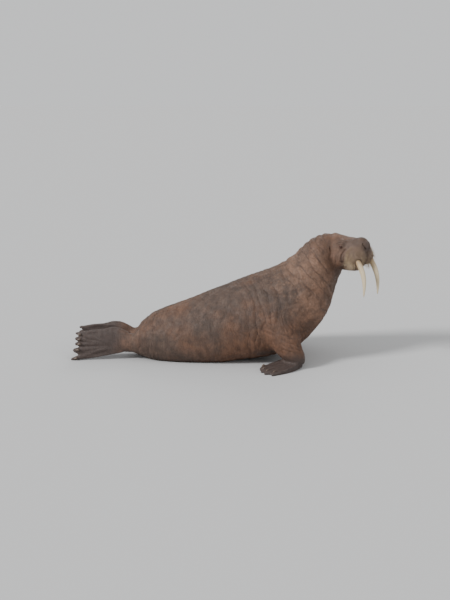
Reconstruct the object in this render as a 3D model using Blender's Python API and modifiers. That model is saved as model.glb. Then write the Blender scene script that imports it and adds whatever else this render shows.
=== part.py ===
"""A bull walrus resting on its belly, chest propped on the fore flippers, head turned to its right.

Metres, +Z up. The animal faces +X, its right side is -Y, and the origin is on the floor under the
middle of its bounding box. The body is modelled whole, from lofts and ellipsoids fused by a voxel
remesh, then parted by thin cuts into the nodes that a person would name.
"""

import math

import bmesh
import bpy
from mathutils import Euler, Matrix, Vector

# ---------------------------------------------------------------- driving dimensions
gap = 0.0003               # clearance between touching pieces
voxel = 0.0125             # grain of the fused body
finePasses = 6             # rounds of smoothing over the whole fused body
broadPasses = 60           # further rounds over the trunk, neck and upper arms
bodyTriangles = 4450       # faces kept on the whole body, before it is parted

# Rings of the trunk and neck from the tail root to the skull. Each row: back line x, z,
# belly line x, z, half width, sideways shift.
trunkRings = (
    (-1.140, 0.225, -1.150, 0.130, 0.060, 0.000),
    (-1.105, 0.285, -1.130, 0.090, 0.145, 0.000),
    (-1.030, 0.393, -1.080, 0.050, 0.230, 0.000),
    (-0.950, 0.498, -0.980, 0.020, 0.285, 0.000),
    (-0.850, 0.566, -0.850, -0.020, 0.335, 0.000),
    (-0.700, 0.626, -0.660, -0.045, 0.385, 0.000),
    (-0.470, 0.706, -0.360, -0.050, 0.440, 0.000),
    (-0.200, 0.814, -0.020, -0.040, 0.475, 0.000),
    (0.060, 0.907, 0.300, 0.016, 0.495, 0.000),
    (0.320, 1.013, 0.595, 0.060, 0.500, 0.000),
    (0.540, 1.086, 0.882, 0.158, 0.485, 0.000),
    (0.720, 1.174, 1.107, 0.390, 0.450, 0.000),
    (0.850, 1.284, 1.237, 0.572, 0.405, -0.005),
    (0.955, 1.396, 1.316, 0.762, 0.355, -0.015),
    (1.070, 1.484, 1.356, 0.930, 0.306, -0.030),
    (1.190, 1.527, 1.389, 1.060, 0.262, -0.050),
    (1.290, 1.512, 1.418, 1.160, 0.200, -0.080),
)
neckTurn = math.radians(-36.0)   # how far the last ring has turned with the head
neckTurnFrom = 0.80        # where along X the neck starts to turn
widestAt = 0.44            # height of the widest line, as a share of each ring's height
backPower = 2.15           # roundness of the upper half of a ring
bellyPower = 2.7           # roundness of the lower half, fuller where the belly spreads
ringsPerSpan = 4
ringPoints = 40

# The head has its own frame: +X forward to the nose, +Y to its left, +Z up.
headPlace = Vector((1.352, -0.037, 1.335))
headTurn = math.radians(-48.0)
headTilt = math.radians(1.0)
# Rings of the skull and upper muzzle. Each row: forward, top, bottom, half width.
skullRings = (
    (-0.200, 0.120, -0.140, 0.120),
    (-0.150, 0.178, -0.190, 0.185),
    (-0.060, 0.184, -0.210, 0.212),
    (0.040, 0.178, -0.205, 0.206),
    (0.130, 0.172, -0.190, 0.180),
    (0.210, 0.163, -0.150, 0.152),
    (0.285, 0.180, -0.115, 0.132),
    (0.352, 0.200, -0.095, 0.120),
    (0.412, 0.174, -0.070, 0.102),
    (0.454, 0.108, -0.040, 0.062),
)
jawRings = (
    (-0.080, -0.060, -0.218, 0.150),
    (0.040, -0.070, -0.226, 0.140),
    (0.160, -0.080, -0.225, 0.118),
    (0.270, -0.085, -0.219, 0.094),
    (0.345, -0.095, -0.202, 0.070),
    (0.378, -0.110, -0.172, 0.038),
)
whiskerPad = dict(place=(0.338, 0.085, -0.025), size=(0.110, 0.090, 0.114))
nosePad = dict(place=(0.398, 0.0, 0.100), size=(0.062, 0.084, 0.060))
brow = dict(place=(0.140, 0.106, 0.112), size=(0.100, 0.060, 0.048))
cheek = dict(place=(0.110, 0.125, -0.070), size=(0.150, 0.078, 0.110))

eyeRadius = 0.020
eyePlace = Vector((0.176, 0.150, 0.072))

# Tusks: round tapered horns in the head's frame, bowed forward.
tuskRoot = Vector((0.350, 0.1150, -0.010))
tuskTip = Vector((0.534, 0.126, -0.476))
tuskBow = 0.067            # how far the middle stands forward of the straight line
tuskWidth = 0.0385         # half width at the gum, front to back
tuskSlim = 0.80            # side to side, as a share of that
tuskSteps = 12
tuskSides = 10

# Fore limb, right side: centre x, y, z and half sizes across and along its flat.
armRings = (
    (0.480, -0.250, 0.640, 0.240),
    (0.580, -0.345, 0.490, 0.220),
    (0.690, -0.440, 0.330, 0.180),
    (0.780, -0.492, 0.200, 0.146),
    (0.830, -0.498, 0.105, 0.120),
    (0.842, -0.500, 0.040, 0.100),
)
# The hand's rim runs from the front root to the tips of digits 1 to 5 and to the back root.
handRoot = (Vector((0.926, -0.470, 0.050)), Vector((0.765, -0.400, 0.050)))
handTips = (
    Vector((0.540, -0.857, 0.000)),
    Vector((0.448, -0.798, -0.002)),
    Vector((0.410, -0.715, -0.002)),
    Vector((0.400, -0.625, -0.002)),
    Vector((0.420, -0.535, -0.002)),
)
handThick = (0.078, 0.034)
handBow = (0.060, 0.015)
handNotch = 0.095          # how far the web stops short of the tips, as a share of the length

# Hind limb, right side: the leg inside its cuff of skin, then a foot held on edge.
legRings = (
    (-0.880, -0.190, 0.230, 0.150, 0.160),
    (-1.030, -0.150, 0.190, 0.115, 0.112),
    (-1.160, -0.152, 0.205, 0.078, 0.118),
    (-1.260, -0.150, 0.229, 0.062, 0.148),
    (-1.350, -0.150, 0.246, 0.052, 0.163),
    (-1.430, -0.155, 0.246, 0.040, 0.150),
    (-1.530, -0.160, 0.240, 0.029, 0.126),
)
footRoot = (Vector((-1.250, -0.150, 0.088)), Vector((-1.250, -0.140, 0.342)))
footTips = (
    Vector((-1.880, -0.205, -0.005)),
    Vector((-1.845, -0.190, 0.124)),
    Vector((-1.822, -0.178, 0.198)),
    Vector((-1.822, -0.166, 0.258)),
    Vector((-1.818, -0.150, 0.330)),
)
footThick = (0.052, 0.022)
footBow = (0.012, 0.036)
footNotch = 0.150

clawSize = dict(hand=0.017, foot=0.022)


# ---------------------------------------------------------------- scene, collections, materials
def clearScene():
    for item in list(bpy.data.objects):
        bpy.data.objects.remove(item)


def newCollection(name):
    found = bpy.data.collections.get(name) or bpy.data.collections.new(name)
    if name not in bpy.context.scene.collection.children:
        bpy.context.scene.collection.children.link(found)
    return found


def newMaterial(name, color, roughness):
    made = bpy.data.materials.new(name)
    made.use_nodes = True
    shader = made.node_tree.nodes["Principled BSDF"]
    shader.inputs["Base Color"].default_value = (*color, 1.0)
    shader.inputs["Roughness"].default_value = roughness
    shader.inputs["Metallic"].default_value = 0.0
    made.diffuse_color = (*color, 1.0)
    return made


def newObject(name, work, collection, material=None):
    """Makes an object of a bmesh and frees the bmesh."""
    mesh = bpy.data.meshes.new(name)
    work.to_mesh(mesh)
    work.free()
    made = bpy.data.objects.new(name, mesh)
    collection.objects.link(made)
    if material:
        mesh.materials.append(material)
    return made


# ---------------------------------------------------------------- shapes
def splineRows(rows, steps):
    """Catmull-Rom rows through the given rows, with steps rows to each span."""
    out = []
    last = len(rows) - 1
    for i in range(last):
        a, b, c, d = (rows[min(max(k, 0), last)] for k in (i - 1, i, i + 1, i + 2))
        for k in range(steps):
            t = k / steps
            out.append(tuple(
                0.5 * (2 * q + (r - p) * t + (2 * p - 5 * q + 4 * r - s) * t * t
                       + (3 * q - p - 3 * r + s) * t ** 3)
                for p, q, r, s in zip(a, b, c, d, strict=True)))
    return out + [rows[last]]


def ring(center, side, up, halfWidth, rise, drop, powers=(2.0, 2.0)):
    """Points round a section whose upper and lower halves may differ in height and fullness."""
    points = []
    for k in range(ringPoints):
        turn = 2 * math.pi * k / ringPoints
        c, s = math.cos(turn), math.sin(turn)
        power = powers[0] if c >= 0 else powers[1]
        across = math.copysign(abs(s) ** (2 / power), s) * halfWidth
        height = math.copysign(abs(c) ** (2 / power), c) * (rise if c >= 0 else drop)
        points.append(center + side * across + up * height)
    return points


def loft(work, rings):
    """Skins the rings into one closed shell, capped at both ends."""
    rows = [[work.verts.new(p) for p in points] for points in rings]
    for near, far in zip(rows, rows[1:], strict=False):
        for k in range(len(near)):
            m = (k + 1) % len(near)
            work.faces.new((near[k], near[m], far[m], far[k]))
    work.faces.new(rows[0][::-1])
    work.faces.new(rows[-1])


def ellipsoid(work, place, size, frame=None):
    matrix = (frame or Matrix()) @ Matrix.Translation(place) @ Matrix.Diagonal((*size, 1.0))
    bmesh.ops.create_uvsphere(work, u_segments=28, v_segments=18, radius=1.0, matrix=matrix)


def trunk(work):
    rings = []
    for row in splineRows(trunkRings, ringsPerSpan):
        back = Vector((row[0], row[5], row[1]))
        belly = Vector((row[2], row[5], row[3]))
        height = (back - belly).length
        up = (back - belly) / height
        share = max(0.0, (row[0] - neckTurnFrom) / (trunkRings[-1][0] - neckTurnFrom))
        side = Matrix.Rotation(neckTurn * share ** 1.5, 3, "Z") @ Vector((0, 1, 0))
        rings.append(ring(belly + up * height * widestAt, side, up, row[4],
                          height * (1 - widestAt), height * widestAt, (backPower, bellyPower)))
    loft(work, rings)
    for side in (-1, 1):
        ellipsoid(work, (-0.820, 0.170 * side, 0.250), (0.290, 0.180, 0.240))
        ellipsoid(work, (0.590, 0.245 * side, 0.560), (0.420, 0.245, 0.410))
    ellipsoid(work, (-1.160, 0.0, 0.255), (0.110, 0.040, 0.030))


def headFrame():
    turn = Euler((0.0, headTilt, headTurn)).to_matrix().to_4x4()
    return Matrix.Translation(headPlace) @ turn


def head(work):
    frame = headFrame()
    turn = frame.to_3x3()
    side, up = turn @ Vector((0, 1, 0)), turn @ Vector((0, 0, 1))
    for rows, powers in ((skullRings, (2.3, 2.3)), (jawRings, (2.0, 2.4))):
        rings = []
        for forward, top, bottom, halfWidth in splineRows(rows, ringsPerSpan):
            middle = frame @ Vector((forward, 0.0, (top + bottom) / 2))
            half = (top - bottom) / 2
            rings.append(ring(middle, side, up, halfWidth, half, half, powers))
        loft(work, rings)
    ellipsoid(work, nosePad["place"], nosePad["size"], frame)
    for flip in (-1, 1):
        for lump in (whiskerPad, brow, cheek):
            x, y, z = lump["place"]
            ellipsoid(work, (x, y * flip, z), lump["size"], frame)


def mirrored(point, side):
    """The right side's point, or its twin on the left."""
    return Vector((point[0], point[1] * -side, point[2]))


def flipper(work, root, tips, thick, bow, notch, face, side):
    """A webbed fan of five digits: two skins over a plane, ridged along each digit."""
    across, along = 40, 30
    last = len(tips) - 1
    sheets = []
    for skin in (1, -1):
        rows = []
        for i in range(along + 1):
            s = i / along
            row = []
            for j in range(across + 1):
                a = j / across
                place = a * last
                k = min(int(place), last - 1)
                part = place - k
                web = math.sin(math.pi * part) ** 4
                base = root[0].lerp(root[1], a)
                tip = tips[k].lerp(tips[k + 1], part)
                tip = base.lerp(tip, 1.0 - notch * web)
                rim = (root[0] - root[1]).normalized()
                swell = math.sin(math.pi * s) * (bow[0] * (1 - a) ** 2 - bow[1] * a ** 2)
                point = base.lerp(tip, s) + rim * swell
                depth = thick[0] + (thick[1] - thick[0]) * s ** 0.6
                depth *= 1.0 - 0.26 * web * min(1.0, 2.2 * s)
                depth *= 1.0 - 0.20 * abs(2 * a - 1) ** 4
                point = point + face * (skin * depth)
                row.append(work.verts.new(mirrored(point, side)))
            rows.append(row)
        sheets.append(rows)
    top, bottom = sheets
    for i in range(along):
        for j in range(across):
            work.faces.new((top[i][j], top[i][j + 1], top[i + 1][j + 1], top[i + 1][j]))
            work.faces.new((bottom[i][j], bottom[i + 1][j], bottom[i + 1][j + 1], bottom[i][j + 1]))
    for i in range(along):
        for j in (0, across):
            work.faces.new((top[i][j], top[i + 1][j], bottom[i + 1][j], bottom[i][j]))
    for j in range(across):
        for i in (0, along):
            work.faces.new((top[i][j], bottom[i][j], bottom[i][j + 1], top[i][j + 1]))


def limbRings(rows, side):
    """Sections square to a limb's path, whose rows end in one or two half sizes."""
    rows = splineRows(rows, ringsPerSpan)
    centers = [mirrored(row[:3], side) for row in rows]
    rings = []
    for k, row in enumerate(rows):
        ahead = (centers[min(k + 1, len(rows) - 1)] - centers[max(k - 1, 0)]).normalized()
        level = Vector((0, 0, 1)).cross(ahead).normalized()
        tall = row[4] if len(row) > 4 else row[3]
        rings.append(ring(centers[k], level, ahead.cross(level), row[3], tall, tall))
    return rings


def limbs(work):
    for side in (-1, 1):
        loft(work, limbRings(armRings, side))
        loft(work, limbRings(legRings, side))
        flipper(work, handRoot, handTips, handThick, handBow, handNotch, Vector((0, 0, 1)), side)
        flipper(work, footRoot, footTips, footThick, footBow, footNotch, Vector((0, 1, 0)), side)


# ---------------------------------------------------------------- fusing, thinning, parting
def settled(item, kind, **settings):
    """Adds a modifier to an object and keeps its result as the object's mesh."""
    modifier = item.modifiers.new(kind.title(), kind)
    for key, value in settings.items():
        setattr(modifier, key, value)
    graph = bpy.context.evaluated_depsgraph_get()
    mesh = bpy.data.meshes.new_from_object(item.evaluated_get(graph))
    item.modifiers.remove(modifier)
    item.data = mesh
    return item


def fineness(point, frame):
    """1 on the face, hands and feet, falling to 0 on the broad trunk."""
    face = (0.40 - (frame.inverted() @ point - Vector((0.26, 0, 0))).length) / 0.12
    hand = (0.26 - point.z) / 0.10 if abs(point.y) > 0.34 and point.x > 0.40 else 0.0
    foot = (-1.04 - point.x) / 0.12
    return min(1.0, max(0.0, face, hand, foot))


def wholeBody(collection):
    work = bmesh.new()
    trunk(work)
    head(work)
    limbs(work)
    bmesh.ops.recalc_face_normals(work, faces=work.faces)
    body = newObject("body", work, collection)
    settled(body, "REMESH", mode="VOXEL", voxel_size=voxel)
    settled(body, "SMOOTH", factor=0.5, iterations=finePasses)
    frame = headFrame()
    broad = body.vertex_groups.new(name="broad")
    for vert in body.data.vertices:
        broad.add([vert.index], 1.0 - fineness(vert.co, frame), "REPLACE")
    settled(body, "SMOOTH", factor=0.5, iterations=broadPasses, vertex_group="broad")
    triangles = sum(len(face.vertices) - 2 for face in body.data.polygons)
    settled(body, "DECIMATE", decimate_type="COLLAPSE", ratio=bodyTriangles / triangles,
            use_collapse_triangulate=True)
    body.vertex_groups.clear()
    return sliced(body, Vector((0, 0, 0)), Vector((0, 0, 1)))


def sliced(item, point, normal):
    """Keeps what lies on the normal's side of a plane, closed by a flat face."""
    work = bmesh.new()
    work.from_mesh(item.data)
    everything = work.verts[:] + work.edges[:] + work.faces[:]
    cut = bmesh.ops.bisect_plane(work, geom=everything, plane_co=point, plane_no=normal,
                                 clear_inner=True, dist=1e-6)
    edges = [e for e in cut["geom_cut"] if isinstance(e, bmesh.types.BMEdge)]
    bmesh.ops.holes_fill(work, edges=edges, sides=0)
    bmesh.ops.triangulate(work, faces=[f for f in work.faces if len(f.verts) > 3])
    work.to_mesh(item.data)
    work.free()
    return item


def copied(item, name, collection):
    twin = bpy.data.objects.new(name, item.data.copy())
    collection.objects.link(twin)
    return twin


def parted(item, name, point, normal, collection):
    """Splits an object by a plane: what is beyond it becomes the new object of that name."""
    normal = normal.normalized()
    beyond = copied(item, name, collection)
    sliced(beyond, point + normal * gap / 2, normal)
    sliced(item, point - normal * gap / 2, -normal)
    return beyond


def cutterBox(name, place, size, turn, collection, frame=None):
    work = bmesh.new()
    matrix = (frame or Matrix()) @ Matrix.LocRotScale(Vector(place), Euler(turn), Vector(size))
    bmesh.ops.create_cube(work, size=1.0, matrix=matrix)
    box = newObject(name, work, collection)
    box.hide_render = True
    box.display_type = "WIRE"
    return box


def combined(item, cutter, operation):
    return settled(item, "BOOLEAN", object=cutter, operation=operation, solver="EXACT")


def carvedOut(item, name, boxes, collection):
    """Moves what lies in a box to a new object; boxes holds the box, and one larger by the gap."""
    piece = copied(item, name, collection)
    combined(piece, boxes[0], "INTERSECT")
    combined(item, boxes[1], "DIFFERENCE")
    return piece


def boxPair(name, place, size, turn, collection, frame=None):
    grown = tuple(length + 2 * gap for length in size)
    return (cutterBox(name, place, size, turn, collection, frame),
            cutterBox(name + "_clear", place, grown, turn, collection, frame))


def separated(item, names, collection):
    """Splits an object into its loose shells, named in the order of their middles along -Y."""
    work = bmesh.new()
    work.from_mesh(item.data)
    left = set(work.verts)
    shells = []
    while left:
        seen, stack = set(), [left.pop()]
        while stack:
            vert = stack.pop()
            seen.add(vert)
            for edge in vert.link_edges:
                other = edge.other_vert(vert)
                if other in left:
                    left.remove(other)
                    stack.append(other)
        shells.append({vert.index for vert in seen})
    middle = {}
    for k, shell in enumerate(shells):
        middle[k] = sum(item.data.vertices[i].co.y for i in shell) / len(shell)
    work.free()
    pieces = []
    for name, k in zip(names, sorted(middle, key=middle.get), strict=True):
        piece = copied(item, name, collection)
        work = bmesh.new()
        work.from_mesh(piece.data)
        bmesh.ops.delete(work, geom=[v for v in work.verts if v.index not in shells[k]])
        work.to_mesh(piece.data)
        work.free()
        pieces.append(piece)
    bpy.data.objects.remove(item)
    return pieces


# ---------------------------------------------------------------- eyes, tusks, claws
def tuskShape(flip, grow=0.0):
    """A tapered horn along an arc, closed by a rounded tip and a flat root."""
    frame = headFrame()
    work = bmesh.new()
    root = Vector((tuskRoot.x, tuskRoot.y * flip, tuskRoot.z))
    tip = Vector((tuskTip.x, tuskTip.y * flip, tuskTip.z))
    along = (tip - root).normalized()
    forward = (Vector((1, 0, 0)) - along * along.x).normalized()
    side = along.cross(forward)
    rings = []
    for k in range(tuskSteps + 1):
        t = k / tuskSteps
        t = t if k < tuskSteps else 0.992
        center = root.lerp(tip, t) + forward * tuskBow * math.sin(math.pi * t)
        taper = (1.0 - t ** 2.4) ** 0.62 * (1.0 - 0.18 * t)
        half = tuskWidth * max(taper, 0.10) + grow
        points = []
        for j in range(tuskSides):
            turn = 2 * math.pi * j / tuskSides
            points.append(frame @ (center + forward * half * math.cos(turn)
                                   + side * (half - grow) * tuskSlim * math.sin(turn)
                                   + side * grow * math.sin(turn)))
        rings.append(points)
    if grow:
        lift = frame.to_3x3() @ along * -grow
        rings[0] = [p + lift for p in rings[0]]
    loft(work, rings)
    bmesh.ops.recalc_face_normals(work, faces=work.faces)
    bmesh.ops.triangulate(work, faces=work.faces)
    return work


def eyeShape(flip, grow=0.0):
    work = bmesh.new()
    spot = headFrame() @ Vector((eyePlace.x, eyePlace.y * flip, eyePlace.z))
    bmesh.ops.create_icosphere(work, subdivisions=2, radius=eyeRadius + grow,
                               matrix=Matrix.Translation(spot))
    return work


def clawShape(tip, back, up, size):
    """A small nail lying along a digit, pointed beyond its root."""
    side = back.cross(up).normalized()
    work = bmesh.new()
    rings = []
    for t in (0.0, 0.5, 0.94):
        half = size * 0.42 * (1.0 - t ** 2) + 0.0006
        center = tip - back * size * 2.0 * t + up * size * 0.10 * (1.0 - t)
        rings.append([center + side * half * math.cos(2 * math.pi * k / 6)
                      + up * half * 0.8 * math.sin(2 * math.pi * k / 6) for k in range(6)])
    loft(work, rings)
    bmesh.ops.recalc_face_normals(work, faces=work.faces)
    return work


def surfacePoint(item, start, direction):
    """Where a ray from start first meets an object, with the normal there."""
    hit, place, normal, _ = item.ray_cast(start, direction)
    return (place, normal) if hit else (None, None)


def setClaw(name, base, tip, from_, flesh, size, collection, material):
    """Lays a claw on the outer skin of a digit, near its end, its belly trimmed to the skin."""
    spot = tip.lerp(base, 0.13)
    place, normal = surfacePoint(flesh, spot + from_ * 0.2, -from_)
    if place is None:
        return None
    back = (base - tip).normalized()
    back = (back - normal * back.dot(normal)).normalized()
    claw = newObject(name, clawShape(place + normal * size * 0.06, back, normal, size),
                     collection, material)
    swollen = newObject("swollen", grownShell(flesh), collection)
    combined(claw, swollen, "DIFFERENCE")
    bpy.data.objects.remove(swollen)
    return claw


def grownShell(item):
    """A copy of an object's mesh, pushed out along its normals by the gap."""
    work = bmesh.new()
    work.from_mesh(item.data)
    work.normal_update()
    shifts = [(vert, vert.co + vert.normal * gap * 1.3) for vert in work.verts]
    for vert, place in shifts:
        vert.co = place
    return work


def recentred(items, tools):
    """Moves all so that the origin is on the floor under the middle of the whole animal."""
    corners = [vert.co for item in items for vert in item.data.vertices]
    shift = Vector((
        -(min(c.x for c in corners) + max(c.x for c in corners)) / 2,
        -(min(c.y for c in corners) + max(c.y for c in corners)) / 2,
        -min(c.z for c in corners)))
    for item in items + tools:
        item.data.transform(Matrix.Translation(shift))
    print("moved to the origin by", tuple(round(v, 4) for v in shift))


# ---------------------------------------------------------------- the whole animal
def build():
    clearScene()
    parts = newCollection("walrus")
    cutters = newCollection("cutters")
    skin = newMaterial("skin", (0.17, 0.105, 0.075), 0.72)
    dark = newMaterial("flipper_skin", (0.075, 0.05, 0.04), 0.66)
    eyeFinish = newMaterial("eye", (0.03, 0.012, 0.008), 0.12)
    ivory = newMaterial("ivory", (0.62, 0.53, 0.36), 0.34)
    horn = newMaterial("claw", (0.09, 0.062, 0.045), 0.42)

    body = wholeBody(parts)

    flesh = {}
    for side, hand in ((-1, "right"), (1, "left")):
        flesh["hand_" + hand] = carvedOut(body, "fore_hand_" + hand, boxPair(
            "cut_hand_" + hand, (0.690, 0.700 * side, 0.010), (0.980, 0.640, 0.300),
            (0, 0, math.radians(15.0) * -side), cutters), parts)
        flesh["arm_" + hand] = carvedOut(body, "fore_arm_" + hand, boxPair(
            "cut_arm_" + hand, (0.760, 0.720 * side, 0.260), (0.560, 0.560, 0.560),
            (math.radians(-22.0) * side, 0, math.radians(14.0) * -side), cutters), parts)

    frame = headFrame()
    turn = frame.to_3x3()
    flesh["head"] = parted(body, "head", Vector((1.215, -0.030, 1.270)),
                           Vector((0.80, -0.30, 0.50)), parts)
    flesh["neck"] = parted(body, "neck", Vector((0.985, 0.0, 0.890)),
                           Vector((0.864, 0.0, 0.504)), parts)
    flesh["chest"] = parted(body, "chest", Vector((0.350, 0.0, 0.500)),
                            Vector((0.959, 0.0, 0.283)), parts)
    rear = parted(body, "rear", Vector((-0.600, 0.0, 0.300)), Vector((-1.0, 0.0, 0.0)), parts)
    flesh["trunk"] = copied(body, "trunk", parts)
    bpy.data.objects.remove(body)
    ends = parted(rear, "ends", Vector((-1.175, 0.0, 0.2)), Vector((-1.0, 0.0, 0.0)), parts)
    flesh["rump"] = copied(rear, "rump", parts)
    bpy.data.objects.remove(rear)
    pieces = separated(ends, ("hind_leg_right", "tail", "hind_leg_left"), parts)
    flesh["leg_right"], flesh["tail"], flesh["leg_left"] = pieces
    for hand in ("right", "left"):
        flesh["foot_" + hand] = parted(flesh["leg_" + hand], "hind_foot_" + hand,
                                       Vector((-1.330, 0, 0.2)), Vector((-1.0, 0, 0)), parts)

    flesh["jaw"] = carvedOut(flesh["head"], "lower_jaw", boxPair(
        "cut_jaw", (0.265, 0.0, -0.187), (0.340, 0.34, 0.164),
        (0, math.radians(4.0), 0), cutters, frame), parts)
    flesh["muzzle"] = parted(flesh["head"], "muzzle", frame @ Vector((0.235, 0, 0)),
                             turn @ Vector((1, 0, 0.06)), parts)

    small = []
    for flip, hand in ((-1, "right"), (1, "left")):
        eye = newObject("eye_" + hand, eyeShape(flip), parts, eyeFinish)
        socket = newObject("socket", eyeShape(flip, gap), cutters)
        for name in ("head", "muzzle"):
            combined(flesh[name], socket, "DIFFERENCE")
        bpy.data.objects.remove(socket)
        tusk = newObject("tusk_" + hand, tuskShape(flip), parts, ivory)
        socket = newObject("socket", tuskShape(flip, gap), cutters)
        for name in ("muzzle", "jaw"):
            combined(flesh[name], socket, "DIFFERENCE")
        bpy.data.objects.remove(socket)
        small += [eye, tusk]

        for k in range(5):
            spread = k / 4
            for limb, root, tips, outward in (
                    ("hand", handRoot, handTips, Vector((0, 0, 1))),
                    ("foot", footRoot, footTips, Vector((0, flip, 0)))):
                base = mirrored(root[0].lerp(root[1], spread), flip)
                tip = tips[k].lerp(tips[2], 0.06 * abs(k - 2))
                claw = setClaw(f"{'fore' if limb == 'hand' else 'hind'}_claw_{hand}_{k + 1}",
                               base, mirrored(tip, flip), outward,
                               flesh[limb + "_" + hand], clawSize[limb], parts, horn)
                if claw:
                    small.append(claw)

    for name, item in flesh.items():
        item.data.materials.clear()
        item.data.materials.append(dark if name[:4] in ("hand", "foot", "tail") else skin)
    everything = list(flesh.values()) + small
    recentred(everything, list(cutters.objects))
    for item in everything:
        item.data.shade_smooth()
        item.data.set_sharp_from_angle(angle=math.radians(40.0))
        print(item.name, len(item.data.polygons))


build()
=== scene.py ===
import math

import bmesh
import bpy
import numpy as np
from mathutils import Euler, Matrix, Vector
from mathutils.bvhtree import BVHTree


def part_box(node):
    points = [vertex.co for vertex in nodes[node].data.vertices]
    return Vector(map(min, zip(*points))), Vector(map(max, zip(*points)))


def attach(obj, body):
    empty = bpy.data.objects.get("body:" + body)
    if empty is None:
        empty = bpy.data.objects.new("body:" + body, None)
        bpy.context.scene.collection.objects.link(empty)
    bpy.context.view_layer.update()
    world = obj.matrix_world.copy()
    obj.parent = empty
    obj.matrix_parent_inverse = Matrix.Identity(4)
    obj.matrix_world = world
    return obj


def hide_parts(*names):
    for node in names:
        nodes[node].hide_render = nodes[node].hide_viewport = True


# A bull walrus lying propped on its fore flippers. Metres, +Z up, head towards +X, its right side -Y.
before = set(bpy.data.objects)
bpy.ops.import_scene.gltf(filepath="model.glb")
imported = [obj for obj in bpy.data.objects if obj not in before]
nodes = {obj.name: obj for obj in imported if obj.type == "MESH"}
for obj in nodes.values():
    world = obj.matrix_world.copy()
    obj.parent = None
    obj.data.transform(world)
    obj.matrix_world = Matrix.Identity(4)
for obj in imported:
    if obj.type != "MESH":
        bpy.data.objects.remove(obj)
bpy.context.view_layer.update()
sides = (("right", -1.0), ("left", 1.0))


def linked(name, data):
    made = bpy.data.objects.new(name, data)
    bpy.context.scene.collection.objects.link(made)
    return made


def newMaterial(name):
    made = bpy.data.materials.new(name)
    made.use_nodes = True
    return made, made.node_tree, made.node_tree.nodes["Principled BSDF"]


# Camera, floor and lights
cameraShape = {
    "target": (0.031, 0.0, 0.703),
    "elevation": 13.0,      # degrees above the horizon
    "distance": 11.0,
    "lens": 54.12,          # mm
    "sensor": 36.0,         # mm, along the long side
}
studio = {
    "floorSize": 400.0,
    "floorColor": (0.478, 0.478, 0.478, 1.0),
    "floorRough": 0.9,
    "skyColor": (0.90, 0.91, 0.92, 1.0),
    "skyStrength": 0.88,
    "sunFar": 6.0,
    # each sun: strength, softness in degrees, where it stands
    "suns": (
        (4.0, 14.0, (-1.05, -0.55, 0.78)),       # key, from the tail side of the camera
        (0.55, 40.0, (0.90, -0.65, 0.35)),       # fill, from in front of the face
        (0.70, 30.0, (0.25, 0.90, 0.55)),        # rim, from behind
    ),
}


def addCamera():
    data = bpy.data.cameras.new("camera")
    data.lens = cameraShape["lens"]
    data.sensor_width = cameraShape["sensor"]
    camera = linked("camera", data)
    tilt = math.radians(cameraShape["elevation"])
    back = Vector((0.0, -math.cos(tilt), math.sin(tilt)))
    camera.location = Vector(cameraShape["target"]) + back * cameraShape["distance"]
    camera.rotation_euler = (-back).to_track_quat("-Z", "Y").to_euler()
    bpy.context.scene.camera = camera


def addStudio():
    bpy.ops.object.select_all(action="DESELECT")
    bpy.ops.mesh.primitive_plane_add(size=studio["floorSize"])
    floor = bpy.context.object
    floor.name = "floor"
    plain, _, shader = newMaterial("floorPaint")
    shader.inputs["Base Color"].default_value = studio["floorColor"]
    shader.inputs["Roughness"].default_value = studio["floorRough"]
    shader.inputs["Specular IOR Level"].default_value = 0.0
    floor.data.materials.append(plain)
    world = bpy.data.worlds.new("sky")
    world.use_nodes = True
    sky = world.node_tree.nodes["Background"]
    sky.inputs["Color"].default_value = studio["skyColor"]
    sky.inputs["Strength"].default_value = studio["skyStrength"]
    bpy.context.scene.world = world
    for strength, softness, place in studio["suns"]:
        data = bpy.data.lights.new("sun", "SUN")
        data.energy = strength
        data.angle = math.radians(softness)
        sun = linked("sun", data)
        sun.location = Vector(place) * studio["sunFar"]
        sun.rotation_euler = Vector(place).to_track_quat("Z", "Y").to_euler()


addCamera()
addStudio()
print("camera and studio")


# Reading and moving the points of a mesh
def readAll(rows, name, width, kind=np.float32):
    found = np.empty(len(rows) * width, dtype=kind)
    rows.foreach_get(name, found)
    return found.reshape(-1, width)


def placesOf(item):
    return readAll(item.data.vertices, "co", 3).astype(float)


def normalsOf(item):
    return readAll(item.data.vertex_normals, "vector", 3).astype(float)


def edgesOf(item):
    return readAll(item.data.edges, "vertices", 2, np.int32)


def setPlaces(item, places):
    item.data.vertices.foreach_set("co", np.ascontiguousarray(places, dtype=np.float32).ravel())
    item.data.update()


def push(item, heights):
    # moves points along their normals, but leaves what rests on the floor
    places = placesOf(item)
    moved = places + normalsOf(item) * heights[:, None]
    moved[:, 2] = np.maximum(moved[:, 2], np.minimum(places[:, 2], skinShape["floorGap"]))
    setPlaces(item, moved)


def spread(values, edges, rounds, share=1.0):
    # each round moves every value half way to its neighbours' mean, times share
    columns = values.reshape(len(values), -1).T
    a, b = edges[:, 0], edges[:, 1]
    count = len(values)
    near = np.maximum(np.bincount(a, minlength=count) + np.bincount(b, minlength=count), 1)
    out = []
    for column in columns:
        for _ in range(rounds):
            total = np.bincount(a, column[b], count) + np.bincount(b, column[a], count)
            column = column + (total / near - column) * 0.5 * share
        out.append(column)
    return np.array(out).T.reshape(values.shape)


def activate(item):
    bpy.ops.object.select_all(action="DESELECT")
    item.select_set(True)
    bpy.context.view_layer.objects.active = item


def editAll(item, action, **settings):
    # one edit-mode operator on the whole mesh
    activate(item)
    bpy.ops.object.mode_set(mode="EDIT")
    bpy.ops.mesh.select_all(action="SELECT")
    action(**settings)
    bpy.ops.object.mode_set(mode="OBJECT")


def applied(item, kind, **settings):
    modifier = item.modifiers.new("step", kind)
    for key, value in settings.items():
        setattr(modifier, key, value)
    activate(item)
    bpy.ops.object.modifier_apply(modifier=modifier.name)


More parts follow.
